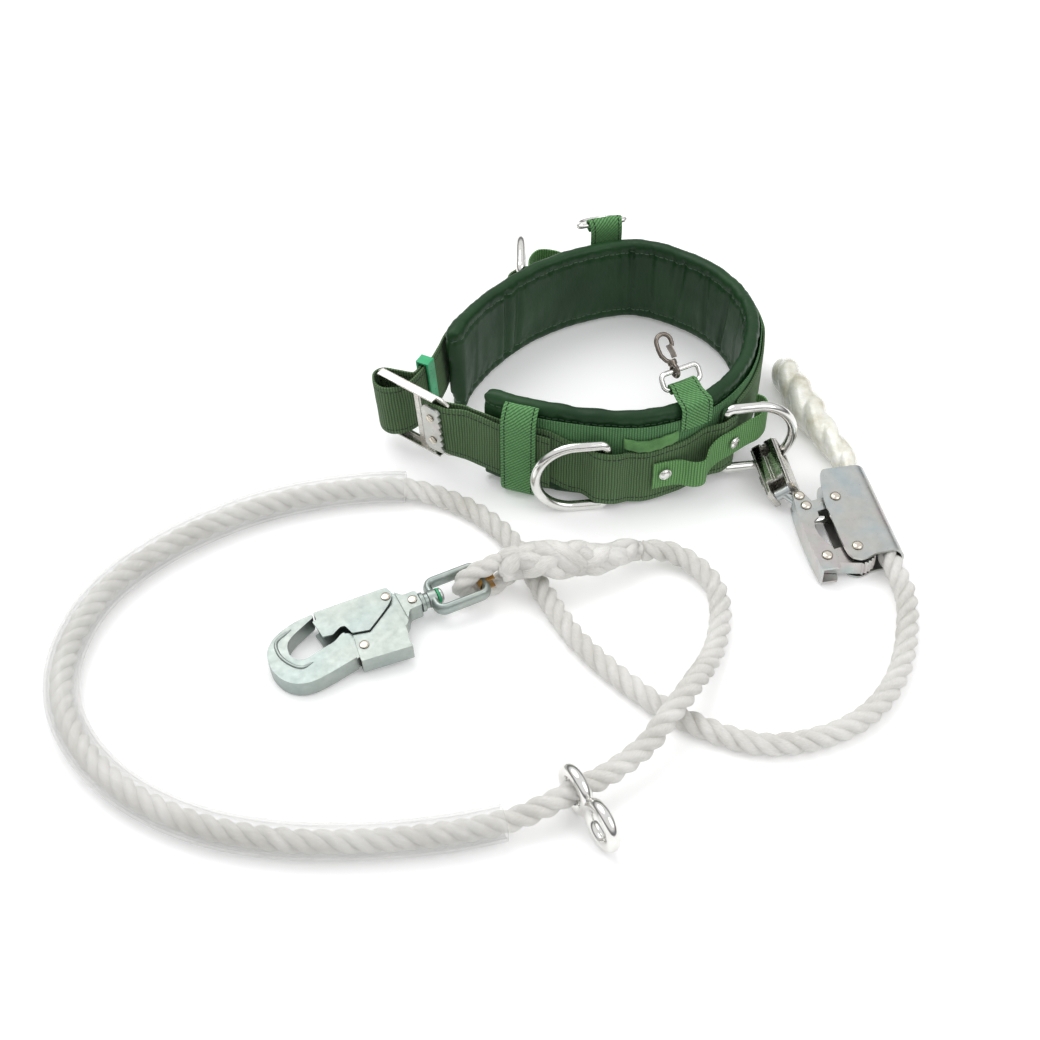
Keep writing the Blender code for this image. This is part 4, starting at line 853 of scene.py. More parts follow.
# Where the inside is creased, and how deeply.
CREASES = (
    (0.022, 0.0010), (0.118, 0.0006), (0.205, 0.0010), (0.238, 0.0014), (0.266, 0.0010), (0.296, 0.0015),
    (0.322, 0.0012), (0.352, 0.0019), (0.380, 0.0012), (0.412, 0.0016), (0.441, 0.0011), (0.462, 0.0022),
    (0.470, 0.0012), (0.583, 0.0014), (0.598, 0.0018), (0.648, 0.0008),
)


def make_pad():
    """Foam in a vinyl cover: swollen by a cloth simulation between its two rows of stitches, then
    drawn in at the stitches and creased on the inside of its bends."""
    inset = 0.0008  # room for the pad to swell
    edge = 0.0045  # radius of its long edges
    high = PAD_HEIGHT - inset
    profile = arc((-edge - inset, edge + inset), edge, -90, 0, 3)
    profile += arc((-edge - inset, high - edge), edge, 0, 90, 3)
    profile += arc((edge - PAD_THICK + inset, high - edge), edge, 90, 180, 3)
    profile += arc((edge - PAD_THICK + inset, edge + inset), edge, 180, 270, 3)
    rings = []
    for distance in spread(0.0, FACE_LENGTH, 121):
        rings.append([settled(on_face(distance, out, height)) for out, height in profile])
    pad = node("back_pad", skin(rings), pad_vinyl())
    remesh = pad.modifiers.new("remesh", "REMESH")
    remesh.mode = "VOXEL"
    remesh.voxel_size = PAD_VOXEL
    remesh.use_smooth_shade = True
    baked(pad)
    rest = [v.co.copy() for v in pad.data.vertices]
    swell(pad, rest)
    pad.modifiers.new("finer", "SUBSURF").levels = 1
    baked(pad)
    draw_in(pad.data)


def draw_in(mesh):
    """Sinks the stitch rows, their puckers and the creases into the pad, and lays its UVs in metres."""
    layer = mesh.uv_layers.new(name="UVMap")
    places = []
    for v in mesh.vertices:
        upright = unsettled(v.co)
        distance = measure(upright)
        near = face_frame(distance)
        distance += (upright - near[0]).dot(near[1])
        places.append((distance, v.co.z, near, (upright - near[0]).dot(near[2])))
    for v, (distance, height, near, out) in zip(mesh.vertices, places):
        face_side = 1.0 if out > -PAD_THICK / 2 else -1.0
        normal = near[2] * face_side
        flat = ease(height, 0.004, 0.009) * (1 - ease(height, PAD_HEIGHT - 0.009, PAD_HEIGHT - 0.004))
        sink = 0.0
        for seam in (SEAM_LOW, SEAM_HIGH):
            gap = abs(height - seam)
            sink += 0.0013 * math.exp(-((gap / 0.0017) ** 2))
            drift = noise.noise(Vector((distance * 40, height * 30, face_side)))
            ripple = math.sin(distance * 2 * math.pi / 0.0135 + 4.0 * drift)
            sink += 0.00045 * ripple * math.exp(-((gap / 0.0070) ** 2))
        if face_side < 0:
            for crease, deep in CREASES:
                tilt = 0.10 * math.sin(crease * 300.0)
                gap = distance - crease - (height - 0.044) * tilt
                if abs(gap) < 0.012:
                    sink += deep * math.exp(-((gap / 0.0024) ** 2))
                    sink -= deep * 0.4 * math.exp(-(((abs(gap) - 0.0062) / 0.0032) ** 2))
        sink += 0.0007 * noise.noise(Vector((distance * 55, height * 38, 2.0 * face_side)))
        v.co -= normal * (sink * flat)
        if height > PAD_HEIGHT - 0.012:
            roll = 0.0009 * noise.noise(Vector((distance * 75, 7.0, out * 60)))
            v.co.z += roll * ease(height, PAD_HEIGHT - 0.012, PAD_HEIGHT - 0.002)
        v.co.z = max(v.co.z, 0.0003)
    for loop in mesh.loops:
        distance, height, _, _ = places[loop.vertex_index]
        layer.data[loop.index].uv = (distance, height)


def baked(obj):
    """Applies a piece's modifiers to its mesh."""
    bpy.context.view_layer.update()
    scene_now = bpy.context.evaluated_depsgraph_get()
    mesh = bpy.data.meshes.new_from_object(obj.evaluated_get(scene_now))
    obj.modifiers.clear()
    obj.data = mesh
    mesh.shade_smooth()


def swell(pad, rest):
    """Blows the pad up with Blender's cloth, held at its stitches, and keeps the result in its mesh."""
    scene = bpy.context.scene
    held = pad.vertex_groups.new(name="stitched")
    rows = [i for i, co in enumerate(rest) if min(abs(co.z - SEAM_LOW), abs(co.z - SEAM_HIGH)) < 0.0024]
    held.add(rows, 1.0, "REPLACE")
    cloth = pad.modifiers.new("cloth", "CLOTH")
    cloth.settings.vertex_group_mass = "stitched"
    cloth.settings.use_pressure = True
    cloth.settings.uniform_pressure_force = 4.0
    cloth.settings.effector_weights.gravity = 0.0
    cloth.settings.quality = 4
    cloth.settings.mass = 0.2
    cloth.point_cache.frame_start = 1
    cloth.point_cache.frame_end = SWELL_FRAMES
    for step in range(1, SWELL_FRAMES + 1):
        scene.frame_set(step)
    now = bpy.context.evaluated_depsgraph_get()
    swollen = pad.evaluated_get(now).to_mesh()
    moved = [v.co.copy() for v in swollen.vertices]
    pad.modifiers.clear()
    pad.vertex_groups.clear()
    for v, start, end in zip(pad.data.vertices, rest, moved):
        step = end - start
        if step.length > SWELL_MOST:
            step = step.normalized() * SWELL_MOST
        v.co = start + step
    scene.frame_set(1)


def make_pad_webbing():
    """The wide band sewn to the outside of the pad."""
    distances = spread(0.020, FACE_LENGTH - 0.020, 190)
    heights = spread(0.027, 0.077, 12)
    grid = strip_grid(distances, [0.00125] * len(distances), lambda d: heights)
    for i, row in enumerate(grid):
        for p in row:
            _, _, normal = face_frame(distances[i])
            p += normal * 0.0003 * noise.noise(Vector((distances[i] * 45, p.z * 40, 5.0)))
    ribbon("pad_webbing", grid, TAPE_THICK - 0.0003, pad_web())


def ring_bulge(distance):
    """How much further out the main belt runs where it passes over a D-ring's bar."""
    total = 0.0
    for place in (FRONT_RING_AT, HIP_RING_AT, FAR_RING_AT):
        total += 0.0082 * (1 - ease(abs(distance - place), 0.004, 0.020))
    return total


def buckle_point(length, out):
    """A point in the buckle's own plan: along its length, and out of its front."""
    along = Vector((math.cos(BUCKLE_ANGLE), math.sin(BUCKLE_ANGLE), 0.0))
    front = Vector((along.y, -along.x, 0.0))
    return Vector((BUCKLE_CENTRE.x, BUCKLE_CENTRE.y, 0.0)) + along * length + front * out


def belt_route():
    """The one length of belt webbing: its free tail, round the buckle's clamp bar, round the
    waist over the D-rings' bars, and round the buckle's left bar to where it is sewn down."""
    tail = [on_face(TAIL_END_AT - 0.008 * i, 0.0080) for i in range(8)]
    bar = 0.022
    turn = [(bar + 0.003, 0.0036), (bar - 0.0022, 0.0036), (bar - 0.0044, 0.0012)]
    turn += [(length, -out) for length, out in reversed(turn)]
    round_bar = [buckle_point(length, out) for length, out in turn]
    inner = [on_face(-0.010, 0.0040)]
    count = round(FACE_LENGTH / 0.006)
    waist = []
    for i in range(count + 1):
        distance = FACE_LENGTH * i / count
        waist.append(on_face(distance, 0.0036 + ring_bulge(distance)))
    far = [
        Vector((-0.1165, 0.0580, 0.0)),
        Vector((-0.1215, 0.0480, 0.0)),
        Vector((-0.1265, 0.0380, 0.0)),
        buckle_point(-0.0080, -0.0060),
        buckle_point(-0.0110, 0.0050),
        buckle_point(-0.0190, 0.0125),
        buckle_point(-0.0290, 0.0115),
        buckle_point(-0.0365, 0.0035),
        buckle_point(-0.0350, -0.0050),
        buckle_point(-0.0250, -0.0100),
        Vector((-0.1330, 0.0380, 0.0)),
        Vector((-0.1292, 0.0393, 0.0)),
        Vector((-0.1242, 0.0493, 0.0)),
        Vector((-0.1202, 0.0573, 0.0)),
    ]
    places = tail + round_bar + inner + waist + far
    lows = [belt_low(TAIL_END_AT - 0.008 * i) - 0.0005 * (7 - i) for i in range(8)]
    lows += [0.021] * (len(round_bar) + 1)
    lows += [belt_low(FACE_LENGTH * i / count) for i in range(count + 1)]
    lows += [0.021] * len(far)
    return [Vector((p.x, p.y, low)) for p, low in zip(places, lows)]


def make_main_belt():
    """The 50 mm belt, slightly wavy and curled at its edges."""
    line = smooth_line(belt_route(), 0.0019)
    grid = []
    total = len(line)
    for i, p in enumerate(line):
        ahead = line[min(i + 1, total - 1)]
        behind = line[max(i - 1, 0)]
        along = Vector((ahead.x - behind.x, ahead.y - behind.y, 0.0)).normalized()
        normal = Vector((along.y, -along.x, 0.0))
        row = []
        for k in range(13):
            across = k / 12
            wave = 0.0003 * noise.noise(Vector((i * 0.09, across * 3.0, 1.0)))
            curl = 0.0004 * (2 * across - 1) ** 2 * noise.noise(Vector((i * 0.05, 9.0, 0.0)))
            place = Vector((p.x, p.y, p.z + BELT_WIDTH * across)) + normal * (wave + curl)
            row.append(settled(place))
        grid.append(row)
    ribbon("main_belt", grid, BELT_THICK, belt_webbing())


def face_band(name, line, centre, half, finish, reach=0.004, sag=0.0):
    """Tape that runs over the pad's edge: a line of (out, height) carried along the face."""
    fine = resampled([Vector((*p, 0.0)) for p in rounded(line, reach, False, 0.0)], 0.0012)
    columns = spread(centre - half, centre + half, 11)
    grid = []
    for i, p in enumerate(fine):
        row = []
        for d in columns:
            loose = sag * noise.noise(Vector((i * 0.08, d * 90, 3.0)))
            row.append(settled(on_face(d, p.x + loose, p.y)))
        grid.append(row)
    ribbon(name, grid, TAPE_THICK, finish)


def make_keeper():
    """The sewn sleeve round belt and pad."""
    line = [
        (GAP + 0.0009, 0.0866),
        (0.0050, 0.0862), (0.0114, 0.0770), (0.0114, 0.0090), (0.0050, 0.0012),
        (GAP + 0.0009, 0.0010),
    ]
    face_band("keeper_loop", line, KEEPER_AT, TAPE_WIDTH / 2, light_webbing(), 0.006, 0.0005)


def make_ring_strap():
    """A soft strip that holds the rings' place, showing above the belt between front and hip."""
    start, end = 0.110, 0.151
    rings = []
    count = 24
    for i in range(count + 1):
        distance = start + (end - start) * i / count
        low = belt_low(distance) + BELT_WIDTH + 0.0007
        swell_out = 0.003 * math.sin(math.pi * i / count) ** 0.6
        inner, outer = 0.0023, 0.0042 + swell_out
        profile = [(inner, low), (outer, low + 0.002), (outer, low + 0.009), (inner, low + 0.012)]
        profile = rounded(profile, 0.004)
        fold = 0.0004 * math.sin(i * 1.3)
        rings.append([on_face(distance, out + fold, height) for out, height in profile])
    node("ring_strap", skin(rings), strap_web(), None, 60)


def tool_strap(name, stops):
    """A wavy strap outside the belt, through stops of (distance, out, low)."""
    places = [on_face(distance, out, low) for distance, out, low in stops]
    line = smooth_line(places, 0.0016)
    grid = [[settled(p + Vector((0, 0, h))) for h in spread(0.0, 0.025, 9)] for p in line]
    ribbon(name, grid, TAPE_THICK, strap_web())


def make_tool_straps():
    tool_strap(
        "tool_strap_near",
        [
            (0.1320, 0.0070, 0.019), (0.1420, 0.0068, 0.019), (0.1520, 0.0085, 0.0185),
            (0.1600, 0.0148, 0.0178), (0.1675, 0.0172, 0.0190), (0.1722, 0.0135, 0.0245),
            (0.1790, 0.0130, 0.0305), (0.1920, 0.0150, 0.033), (0.2050, 0.0180, 0.034),
            (0.2150, 0.0215, 0.034), (0.2260, 0.0210, 0.034), (0.2320, 0.0155, 0.034),
            (0.2330, 0.0090, 0.034),
        ],
    )
    tool_strap(
        "tool_strap_far",
        [
            (0.4960, 0.0070, 0.034), (0.5080, 0.0130, 0.035), (0.5160, 0.0260, 0.037),
            (0.5280, 0.0340, 0.038), (0.5400, 0.0260, 0.037), (0.5430, 0.0130, 0.035),
        ],
    )


def make_strap_rivets():
    """The press studs of the near tool strap: a domed cap with a rolled rim."""
    for name, distance, out, height in (
        ("strap_stud_front", 0.1400, 0.0090, 0.034),
        ("strap_stud_hip", 0.1915, 0.0166, 0.046),
    ):
        _, _, normal = face_frame(distance)
        profile = [(0.0048, 0.0), (0.0050, 0.0004), (0.0049, 0.0011), (0.0044, 0.0013), (0.0041, 0.0010)]
        profile += [(0.0036, 0.0018), (0.0027, 0.0024), (0.0014, 0.0027), (0.0004, 0.0028)]
        place = placed(on_face(distance, out, height), normal, (0, 0, 1))
        node(name, turned(profile, 12, "X"), polished_steel(), place, 60)


def make_tabs():
    """The sewn tabs that hold the two small rings."""
    near = [
        (0.0031, 0.0680), (0.0031, 0.0860), (0.0010, 0.0892), (-0.0100, 0.0906), (-0.0150, 0.0945),
        (-0.0185, 0.0955), (-0.0214, 0.0936), (-0.0216, 0.0905), (-0.0192, 0.0885), (-0.0160, 0.0890),
    ]
    face_band("tab_near", near, TAB_NEAR_AT, TAPE_WIDTH / 2, light_webbing(), 0.003)
    far = [
        (0.0031, 0.0735), (0.0031, 0.0900), (0.0042, 0.0965), (0.0074, 0.1005), (0.0114, 0.1010),
        (0.0142, 0.0980), (0.0142, 0.0938), (0.0112, 0.0910), (0.0078, 0.0912),
    ]
    face_band("tab_far", far, TAB_FAR_AT, TAPE_WIDTH / 2, light_webbing(), 0.003)


def make_slide_keeper():
    """The moulded slide that gathers the far belt just past the pad's end."""
    at = Vector((-0.1223, 0.0498, 0.0))
    along = Vector((-0.447, -0.894, 0.0)).normalized()
    out = Vector((along.y, -along.x, 0.0))
    outer = thickened([(-0.0055, 0.0), (0.0055, 0.0)], 0.057)
    inner = thickened([(-0.0034, 0.0), (0.0034, 0.0)], 0.053)
    place = Matrix.Translation(at + Vector((0, 0, 0.046)))
    rings = []
    for outline in (outer, inner):
        for end in (-0.005, 0.005):
            ring = []
            for across, height in outline:
                p = at + along * end + out * across + Vector((0, 0, height + 0.046))
                ring.append(place.inverted() @ settled(p))
            rings.append(ring)
    shape = skin([rings[0], rings[1], rings[3], rings[2]], closed=True)
    node("slide_keeper", shape, green_plastic(), place)


def buckle_place():
    """The buckle's frame: X along its length, Y out of its back, Z up its leaning height."""
    along = Vector((math.cos(BUCKLE_ANGLE), math.sin(BUCKLE_ANGLE), 0.0))
    up = Vector((0.0, -LEAN, 1.0))
    up = (up - along * up.dot(along)).normalized()
    return axes_at(settled(BUCKLE_CENTRE), along, up.cross(along), up)


def upright(outline, front, back):
    """An outline in the buckle's length and height, carried from front to back."""
    return skin([[Vector((x, -out, z)) for x, z in outline] for out in (front, back)])


def make_buckle():
    """The frame with its three windows and rolled rims, and the clamp on it."""
    place = buckle_place()
    high = BUCKLE_HALF_HEIGHT
    window = BUCKLE_WINDOW
    plate = [(-0.0340, -high + 0.004), (-0.0300, -high), (0.0290, -high), (0.0350, -high + 0.003)]
    plate += [(0.0380, -high + 0.007), (0.0350, -window + 0.001), (0.0350, window - 0.001)]
    plate += [(0.0380, high - 0.007), (0.0350, high - 0.003), (0.0290, high)]
    plate += [(-0.0300, high), (-0.0340, high - 0.004)]
    frame = node("buckle_frame", upright(plate, 0.0012, -0.0012), zinc_plate(), place)
    left = [(-0.0280, -window), (0.0010, -window), (0.0010, window), (-0.0280, window)]
    cut(frame, upright(left, 0.01, -0.01))
    middle = [(0.0060, -window), (0.0195, -window), (0.0195, window), (0.0060, window)]
    cut(frame, upright(middle, 0.01, -0.01))
    right = [(0.0245, -window), (0.0420, -window), (0.0420, window), (0.0245, window)]
    cut(frame, upright(right, 0.01, -0.01))
    for side in (1, -1):
        rim = [(-0.0300, side * (high - 0.0016)), (0.0250, side * (high - 0.0016))]
        rim += [(0.0250, side * high), (-0.0300, side * high)]
        cut(frame, upright(rim[::side], 0.0062, 0.0002), "UNION")
    make_clamp_bar(place)


def make_clamp_bar(place):
    """The toothed plate that bites the belt, on two rivets."""
    teeth = []
    count = 7
    half = 0.0235
    for i in range(count):
        low = -half + 2 * half * i / count
        teeth.append((0.0290, low + 0.0006))
        teeth.append((0.0312, low + half / count))
        teeth.append((0.0290, low + 2 * half / count - 0.0006))
    outline = [(0.0130, half - 0.004), (0.0130, -half + 0.004), (0.0165, -half)] + teeth
    outline.append((0.0165, half))
    node("buckle_clamp", upright(outline, 0.0072, 0.0050), zinc_plate(), place)
    profile = [(0.0034, 0.0), (0.0034, 0.0006), (0.0026, 0.0015), (0.0010, 0.0019)]
    for name, height in (("clamp_rivet_upper", 0.012), ("clamp_rivet_lower", -0.012)):
        spot = place @ Matrix.Translation((0.0215, -0.0075, height))
        node(name, turned(profile, 12), zinc_plate(), spot @ Matrix.Rotation(math.pi / 2, 4, "X"))


def d_path(leg, bow, corner, count):
    """The middle line of a D-ring: bar on the Z axis, bow towards +X."""
    path = [(0.0, 0.0)]
    path += arc((corner, corner - bow), corner, 180, 270, 3)
    path += arc((leg, 0.0), bow, -90, 90, count)
    path += arc((corner, bow - corner), corner, 90, 180, 3)
    return [Vector((x, 0.0, z)) for x, z in path]


def large_ring(name, distance, direction, centre_height, lean=0.0):
    """A D-ring whose bar lies under the belt and whose bow points in a direction."""
    bar = on_face(distance, 0.0065, centre_height)
    if lean:
        bar = settled(bar)
    up = Vector((0.0, -lean, 1.0)).normalized()
    place = placed(bar, direction, up)
    node(name, tube(d_path(RING_LEG, RING_BOW, 0.005, 15), RING_ROD, 8, True), polished_steel(), place)


def hip_direction():
    return Vector((0.990, 0.141, 0.0))


def ring_height(distance):
    """The middle of a D-ring whose lower leg passes just under the belt."""
    return belt_low(distance) + BELT_WIDTH / 2


def make_large_rings():
    front = Vector((-0.993, -0.118, 0.0))
    large_ring("dring_front", FRONT_RING_AT, front, ring_height(FRONT_RING_AT))
    large_ring("dring_hip", HIP_RING_AT, hip_direction(), ring_height(HIP_RING_AT))
    back = Vector((0.0, 1.0, LEAN))
    large_ring("dring_far", FAR_RING_AT, back, ring_height(FAR_RING_AT) - 0.0006, LEAN)


def tab_ring_place(distance, out, height, lift, shift=0.0):
    """A frame at a tab ring's bar: X out of the bar, towards the bow, and Z along the bar."""
    _, along, normal = face_frame(distance)
    side = -1.0 if out < 0 else 1.0
    flat = normal * side
    bow = flat * math.cos(lift) + Vector((0, 0, 1)) * math.sin(lift)
    bar = settled(on_face(distance, out, height)) + along * shift
    x_axis = bow.normalized()
    z_axis = along.normalized()
    return axes_at(bar, x_axis, z_axis.cross(x_axis), z_axis)


def near_tab_ring_place():
    return tab_ring_place(TAB_NEAR_AT, -0.0184, 0.0920, math.radians(50))


def far_tab_ring_place():
    return tab_ring_place(TAB_FAR_AT, 0.0098, 0.0958, math.radians(-25), 0.0012)


def make_tab_rings():
    deep, half, bend = NEAR_RING_DEEP, 0.0160, 0.0040
    near = arc((bend, bend - half), bend, 180, 270, 4)
    near += arc((deep - bend, bend - half), bend, -90, 0, 4)
    near += arc((deep - bend, half - bend), bend, 0, 90, 4)
    near += arc((bend, half - bend), bend, 90, 180, 4)
    path = [Vector((x, 0.0, z)) for x, z in near]
    node("tab_ring_near", tube(path, TAB_ROD, 8, True), polished_steel(), near_tab_ring_place())
    far = d_path(0.0040, 0.0200, 0.0030, 9)
    node("tab_ring_far", tube(far, TAB_ROD, 8, True), polished_steel(), far_tab_ring_place())


def clip_place():
    """X towards the clip's nose, Y along the tab ring's outer side, where the origin is."""
    side = near_tab_ring_place() @ Vector((NEAR_RING_DEEP, 0.0, -0.0030))
    _, along, _ = face_frame(TAB_NEAR_AT)
    nose = Vector((-0.39, 0.59, 0.70))
    return placed(side, nose - along * nose.dot(along), nose.cross(along))


def make_clip():
    metal = gunmetal()
    place = clip_place()
    eye = [Vector((0.0046 * math.cos(a), 0.0, 0.0046 * math.sin(a))) for a in full_turn(12)]
    body = node("clip_body", tube(eye, 0.0016, 8, True), metal, place)
    barrel = turned([(0.0030, 0.0042), (0.0036, 0.0050), (0.0036, 0.0080), (0.0028, 0.0088)], 12, "X")
    cut(body, barrel, "UNION")
    wire = [(0.0062, -0.0003), (0.0092, -0.0042), (0.0135, -0.0068), (0.0185, -0.0074)]
    wire += arc((0.0225, -0.0010), 0.0062, -90, 80, 7)
    wire += [(0.0205, 0.0051), (0.0182, 0.0043)]
    cut(body, tube([Vector((x, y, 0.0)) for x, y in wire], 0.0017, 8), "UNION")
    leaf = thickened([(0.0094, 0.0032), (0.0135, 0.0031), (0.0197, 0.0018)], 0.0010)
    node("clip_gate", prism(leaf, -0.0040, 0.0040), metal, place)


def full_turn(count):
    count *= 3
    return [2 * math.pi * i / count for i in range(count)]


def ring_bow_point(angle):
    """A point on the hip ring's bow and the rod's direction there; angle is below the middle."""
    out = hip_direction()
    bar = on_face(HIP_RING_AT, 0.0065, ring_height(HIP_RING_AT))
    reach = RING_LEG + RING_BOW * math.cos(angle)
    point = bar + out * reach - Vector((0, 0, RING_BOW * math.sin(angle)))
    along = out * math.sin(angle) + Vector((0, 0, math.cos(angle)))
    return point, along


def connector_place():
    """X along the ring's rod, Y from the ring towards the grip, Z out of the ribbed face."""
    point, rod = ring_bow_point(math.radians(58))
    towards = Vector((0.209, -0.978, -0.020))
    towards = (towards - rod * towards.dot(rod)).normalized()
    x_axis = -rod.normalized()
    return axes_at(point, x_axis, towards, x_axis.cross(towards))


NECK_PIN = 0.0360  # from the ring's rod to the pin between connector and neck


def make_connector():
    """The ribbed body that closes over the hip ring and carries the grip's neck."""
    place = connector_place()
    half = 0.011
    deep = 0.0090
    section = [(-half, -deep), (half, -deep), (half, deep)]
    for middle in (0.0054, -0.0054):
        section += [(middle + 0.0046, deep), (middle + 0.0034, deep + 0.0022)]
        section += [(middle - 0.0034, deep + 0.0022), (middle - 0.0046, deep)]
    section.append((-half, deep))
    rings = [[Vector((x, y, z)) for x, z in section] for y in (-0.0098, 0.0388)]
    body = node("connector_body", skin(rings), polished_steel(), place)
    cut(body, box((-0.02, -0.0074, -0.0066), (0.02, 0.0080, 0.0066)))
    cut(body, box((-0.0080, -0.0074, 0.0), (0.0080, 0.0030, 0.02)))
    cut(body, box((-0.0088, 0.0110, -0.0070), (0.0088, 0.0300, 0.0070)))
    cut(body, box((0.0050, 0.0120, -0.0050), (0.0150, 0.0290, 0.0050)))
    cut(body, box((-0.0066, 0.0290, -0.02), (0.0066, 0.0420, 0.02)))
    pin_hole = turned([(0.0022, -0.02), (0.0022, 0.02)], 12, "X")
    cut(body, shifted(pin_hole, (0, NECK_PIN, 0)))
    make_connector_latch(place)
    make_neck(place)


def make_connector_latch(place):
    """The side lever that shuts the connector, hinged near the neck."""
    lever = [(0.0140, -0.0040), (0.0140, 0.0040), (0.0235, 0.0042), (0.0270, 0.0030)]
    lever += [(0.0270, -0.0030), (0.0235, -0.0042)]
    rings = [[Vector((x, y, z)) for y, z in lever] for x in (0.0092, 0.0128)]
    latch = node("connector_latch", skin(rings), polished_steel(), place)
    spot = (0.0110, 0.0245, 0)
    cut(latch, shifted(turned([(0.0013, -0.01), (0.0013, 0.01)], 10), spot))
    pin = turned([(0.0010, -0.0048), (0.0010, 0.0048)], 10)
    node("latch_pin", shifted(pin, spot), zinc_plate(), place)


def arm_turn_point():
    """Where the neck turns on an upright rivet in the grip arm's open end."""
    return grip_place() @ Vector((*ARM_NECK_PIVOT, 0.0))


def make_neck(place):
    """The neck, with a knuckle on the connector's pin and an eye on the arm's rivet."""
    pin = turned([(0.0019, -0.0108), (0.0019, 0.0108)], 12, "X")
    node("neck_pin", shifted(pin, (0, NECK_PIN, 0)), zinc_plate(), place)
    knuckle = turned([(0.0044, -0.0060), (0.0044, 0.0060)], 14, "X")
    neck = node("connector_neck", knuckle, zinc_plate(), place @ Matrix.Translation((0, NECK_PIN, 0)))
    inverse = neck.matrix_world.inverted()
    foot = arm_turn_point()
    far_end = inverse @ Vector((foot.x, foot.y, 0.0110))
    cut(neck, tube([Vector((0, 0.001, 0)), far_end], 0.0032, 10), "UNION")
    eye = turned([(0.0045, 0.0052), (0.0045, 0.0168)], 14)
    bmesh.ops.transform(eye, matrix=inverse @ Matrix.Translation(foot), verts=eye.verts)
    cut(neck, eye, "UNION")
    hole = turned([(0.0025, 0.0), (0.0025, 0.03)], 12)
    bmesh.ops.transform(hole, matrix=inverse @ Matrix.Translation(foot), verts=hole.verts)
    cut(neck, hole)
    cut(neck, turned([(0.0022, -0.01), (0.0022, 0.01)], 12, "X"))


def grip_place():
    """X along the rope towards its lower mouth, Y from the arm to the rope, Z up."""
    return Matrix.Translation(GRIP_CENTRE) @ Matrix.Rotation(GRIP_ANGLE, 4, "Z")


def upright_hole(spot, radius=0.0025):
    return shifted(turned([(radius, -0.05), (radius, 0.05)], 12), (*spot, 0.0))


def dome_rivet(name, place, spot, low, top):
    """A rivet with its shank through the plates and a domed head on the top one."""
    profile = [(0.0022, low), (0.0022, top + GAP), (0.0042, top + GAP), (0.0042, top + 0.0008)]
    profile += [(0.0034, top + 0.0018), (0.0014, top + 0.0023)]
    node(name, turned(profile, 12), zinc_plate(), place @ Matrix.Translation((*spot, 0.0)))


def make_grip_arm():
    """The folded arm, on three rivets."""
    place = grip_place()
    low, high = 0.0030, 0.0190
    outline = [(-0.0262, -0.0335), (-0.0235, -0.0362), (-0.0130, -0.0378), (0.0080, -0.0390)]
    outline.append((0.0310, -0.0390))
    outline += [(0.0560, -0.0375), (0.0560, -0.0240), (0.0500, -0.0225), (0.0360, -0.0225)]
    outline += [(0.0310, -0.0255), (0.0240, -0.0290), (0.0130, -0.0300), (0.0070, -0.0285)]
    outline += [(0.0030, -0.0235), (-0.0100, -0.0225), (-0.0200, -0.0262), (-0.0250, -0.0285)]
    arm = node("grip_arm", prism(rounded(outline, 0.0016), low, high), zinc_plate(), place)
    hollow = [(-0.0400, -0.0450), (-0.0140, -0.0450), (-0.0140, -0.0360), (0.0080, -0.0372)]
    hollow.append((0.0310, -0.0372))
    hollow += [(0.0700, -0.0350), (0.0700, -0.0100), (-0.0400, -0.0100)]
    cut(arm, prism(hollow, low + GRIP_PLATE, high - GRIP_PLATE))
    names = ("arm_rivet_neck", "arm_rivet_upper", "arm_rivet_lower")
    for name, spot in zip(names, [ARM_NECK_PIVOT] + ARM_PIVOTS):
        cut(arm, upright_hole(spot))
        dome_rivet(name, place, spot, low + GAP, high)


def make_links():
    """The upper link and the roller on it, and the cam that is the lower link."""
    place = grip_place()
    (ax, ay), (hx, hy) = ARM_PIVOTS[0], HOUSING_PIVOTS[0]
    low, high = 0.0052, 0.0168
    outline = arc((ax, ay), 0.0052, 180, 360, 7) + arc((hx, hy), 0.0066, 0, 180, 7)
    link = node("upper_link", prism(outline, low, high), zinc_plate(), place)
    cut(link, upright_hole((ax, ay)))
    cut(link, upright_hole((hx, hy)))
    roller = turned([(0.0030, -0.0270), (0.0034, -0.0262), (0.0034, -0.0175), (0.0030, -0.0168)], 12)
    turn = Matrix.Rotation(math.radians(-90), 4, "X")
    bmesh.ops.transform(roller, matrix=turn, verts=roller.verts)
    node("link_roller", shifted(roller, (-0.0008, 0.0, 0.0110)), polished_steel(), place)
    make_cam(place, low, high)


def make_cam(place, low, high):
    """The toothed cam that grips the rope."""
    (ax, ay), (hx, hy) = ARM_PIVOTS[1], HOUSING_PIVOTS[1]
    outline = arc((ax, ay), 0.0052, 210, 340, 6)
    teeth = 7
    for i in range(teeth):
        start = -4 + 96 * i / teeth
        outline += arc((hx, hy), 0.0132, start, start + 2, 2)
        outline += arc((hx, hy), 0.0148, start + 8, start + 9, 2)
    outline += [(hx - 0.0066, hy + 0.0050), (hx - 0.0068, hy - 0.0040)]
    cam = node("grip_cam", prism(outline, low, high), zinc_plate(), place)
    cut(cam, upright_hole((ax, ay)))
    cut(cam, upright_hole((hx, hy)))


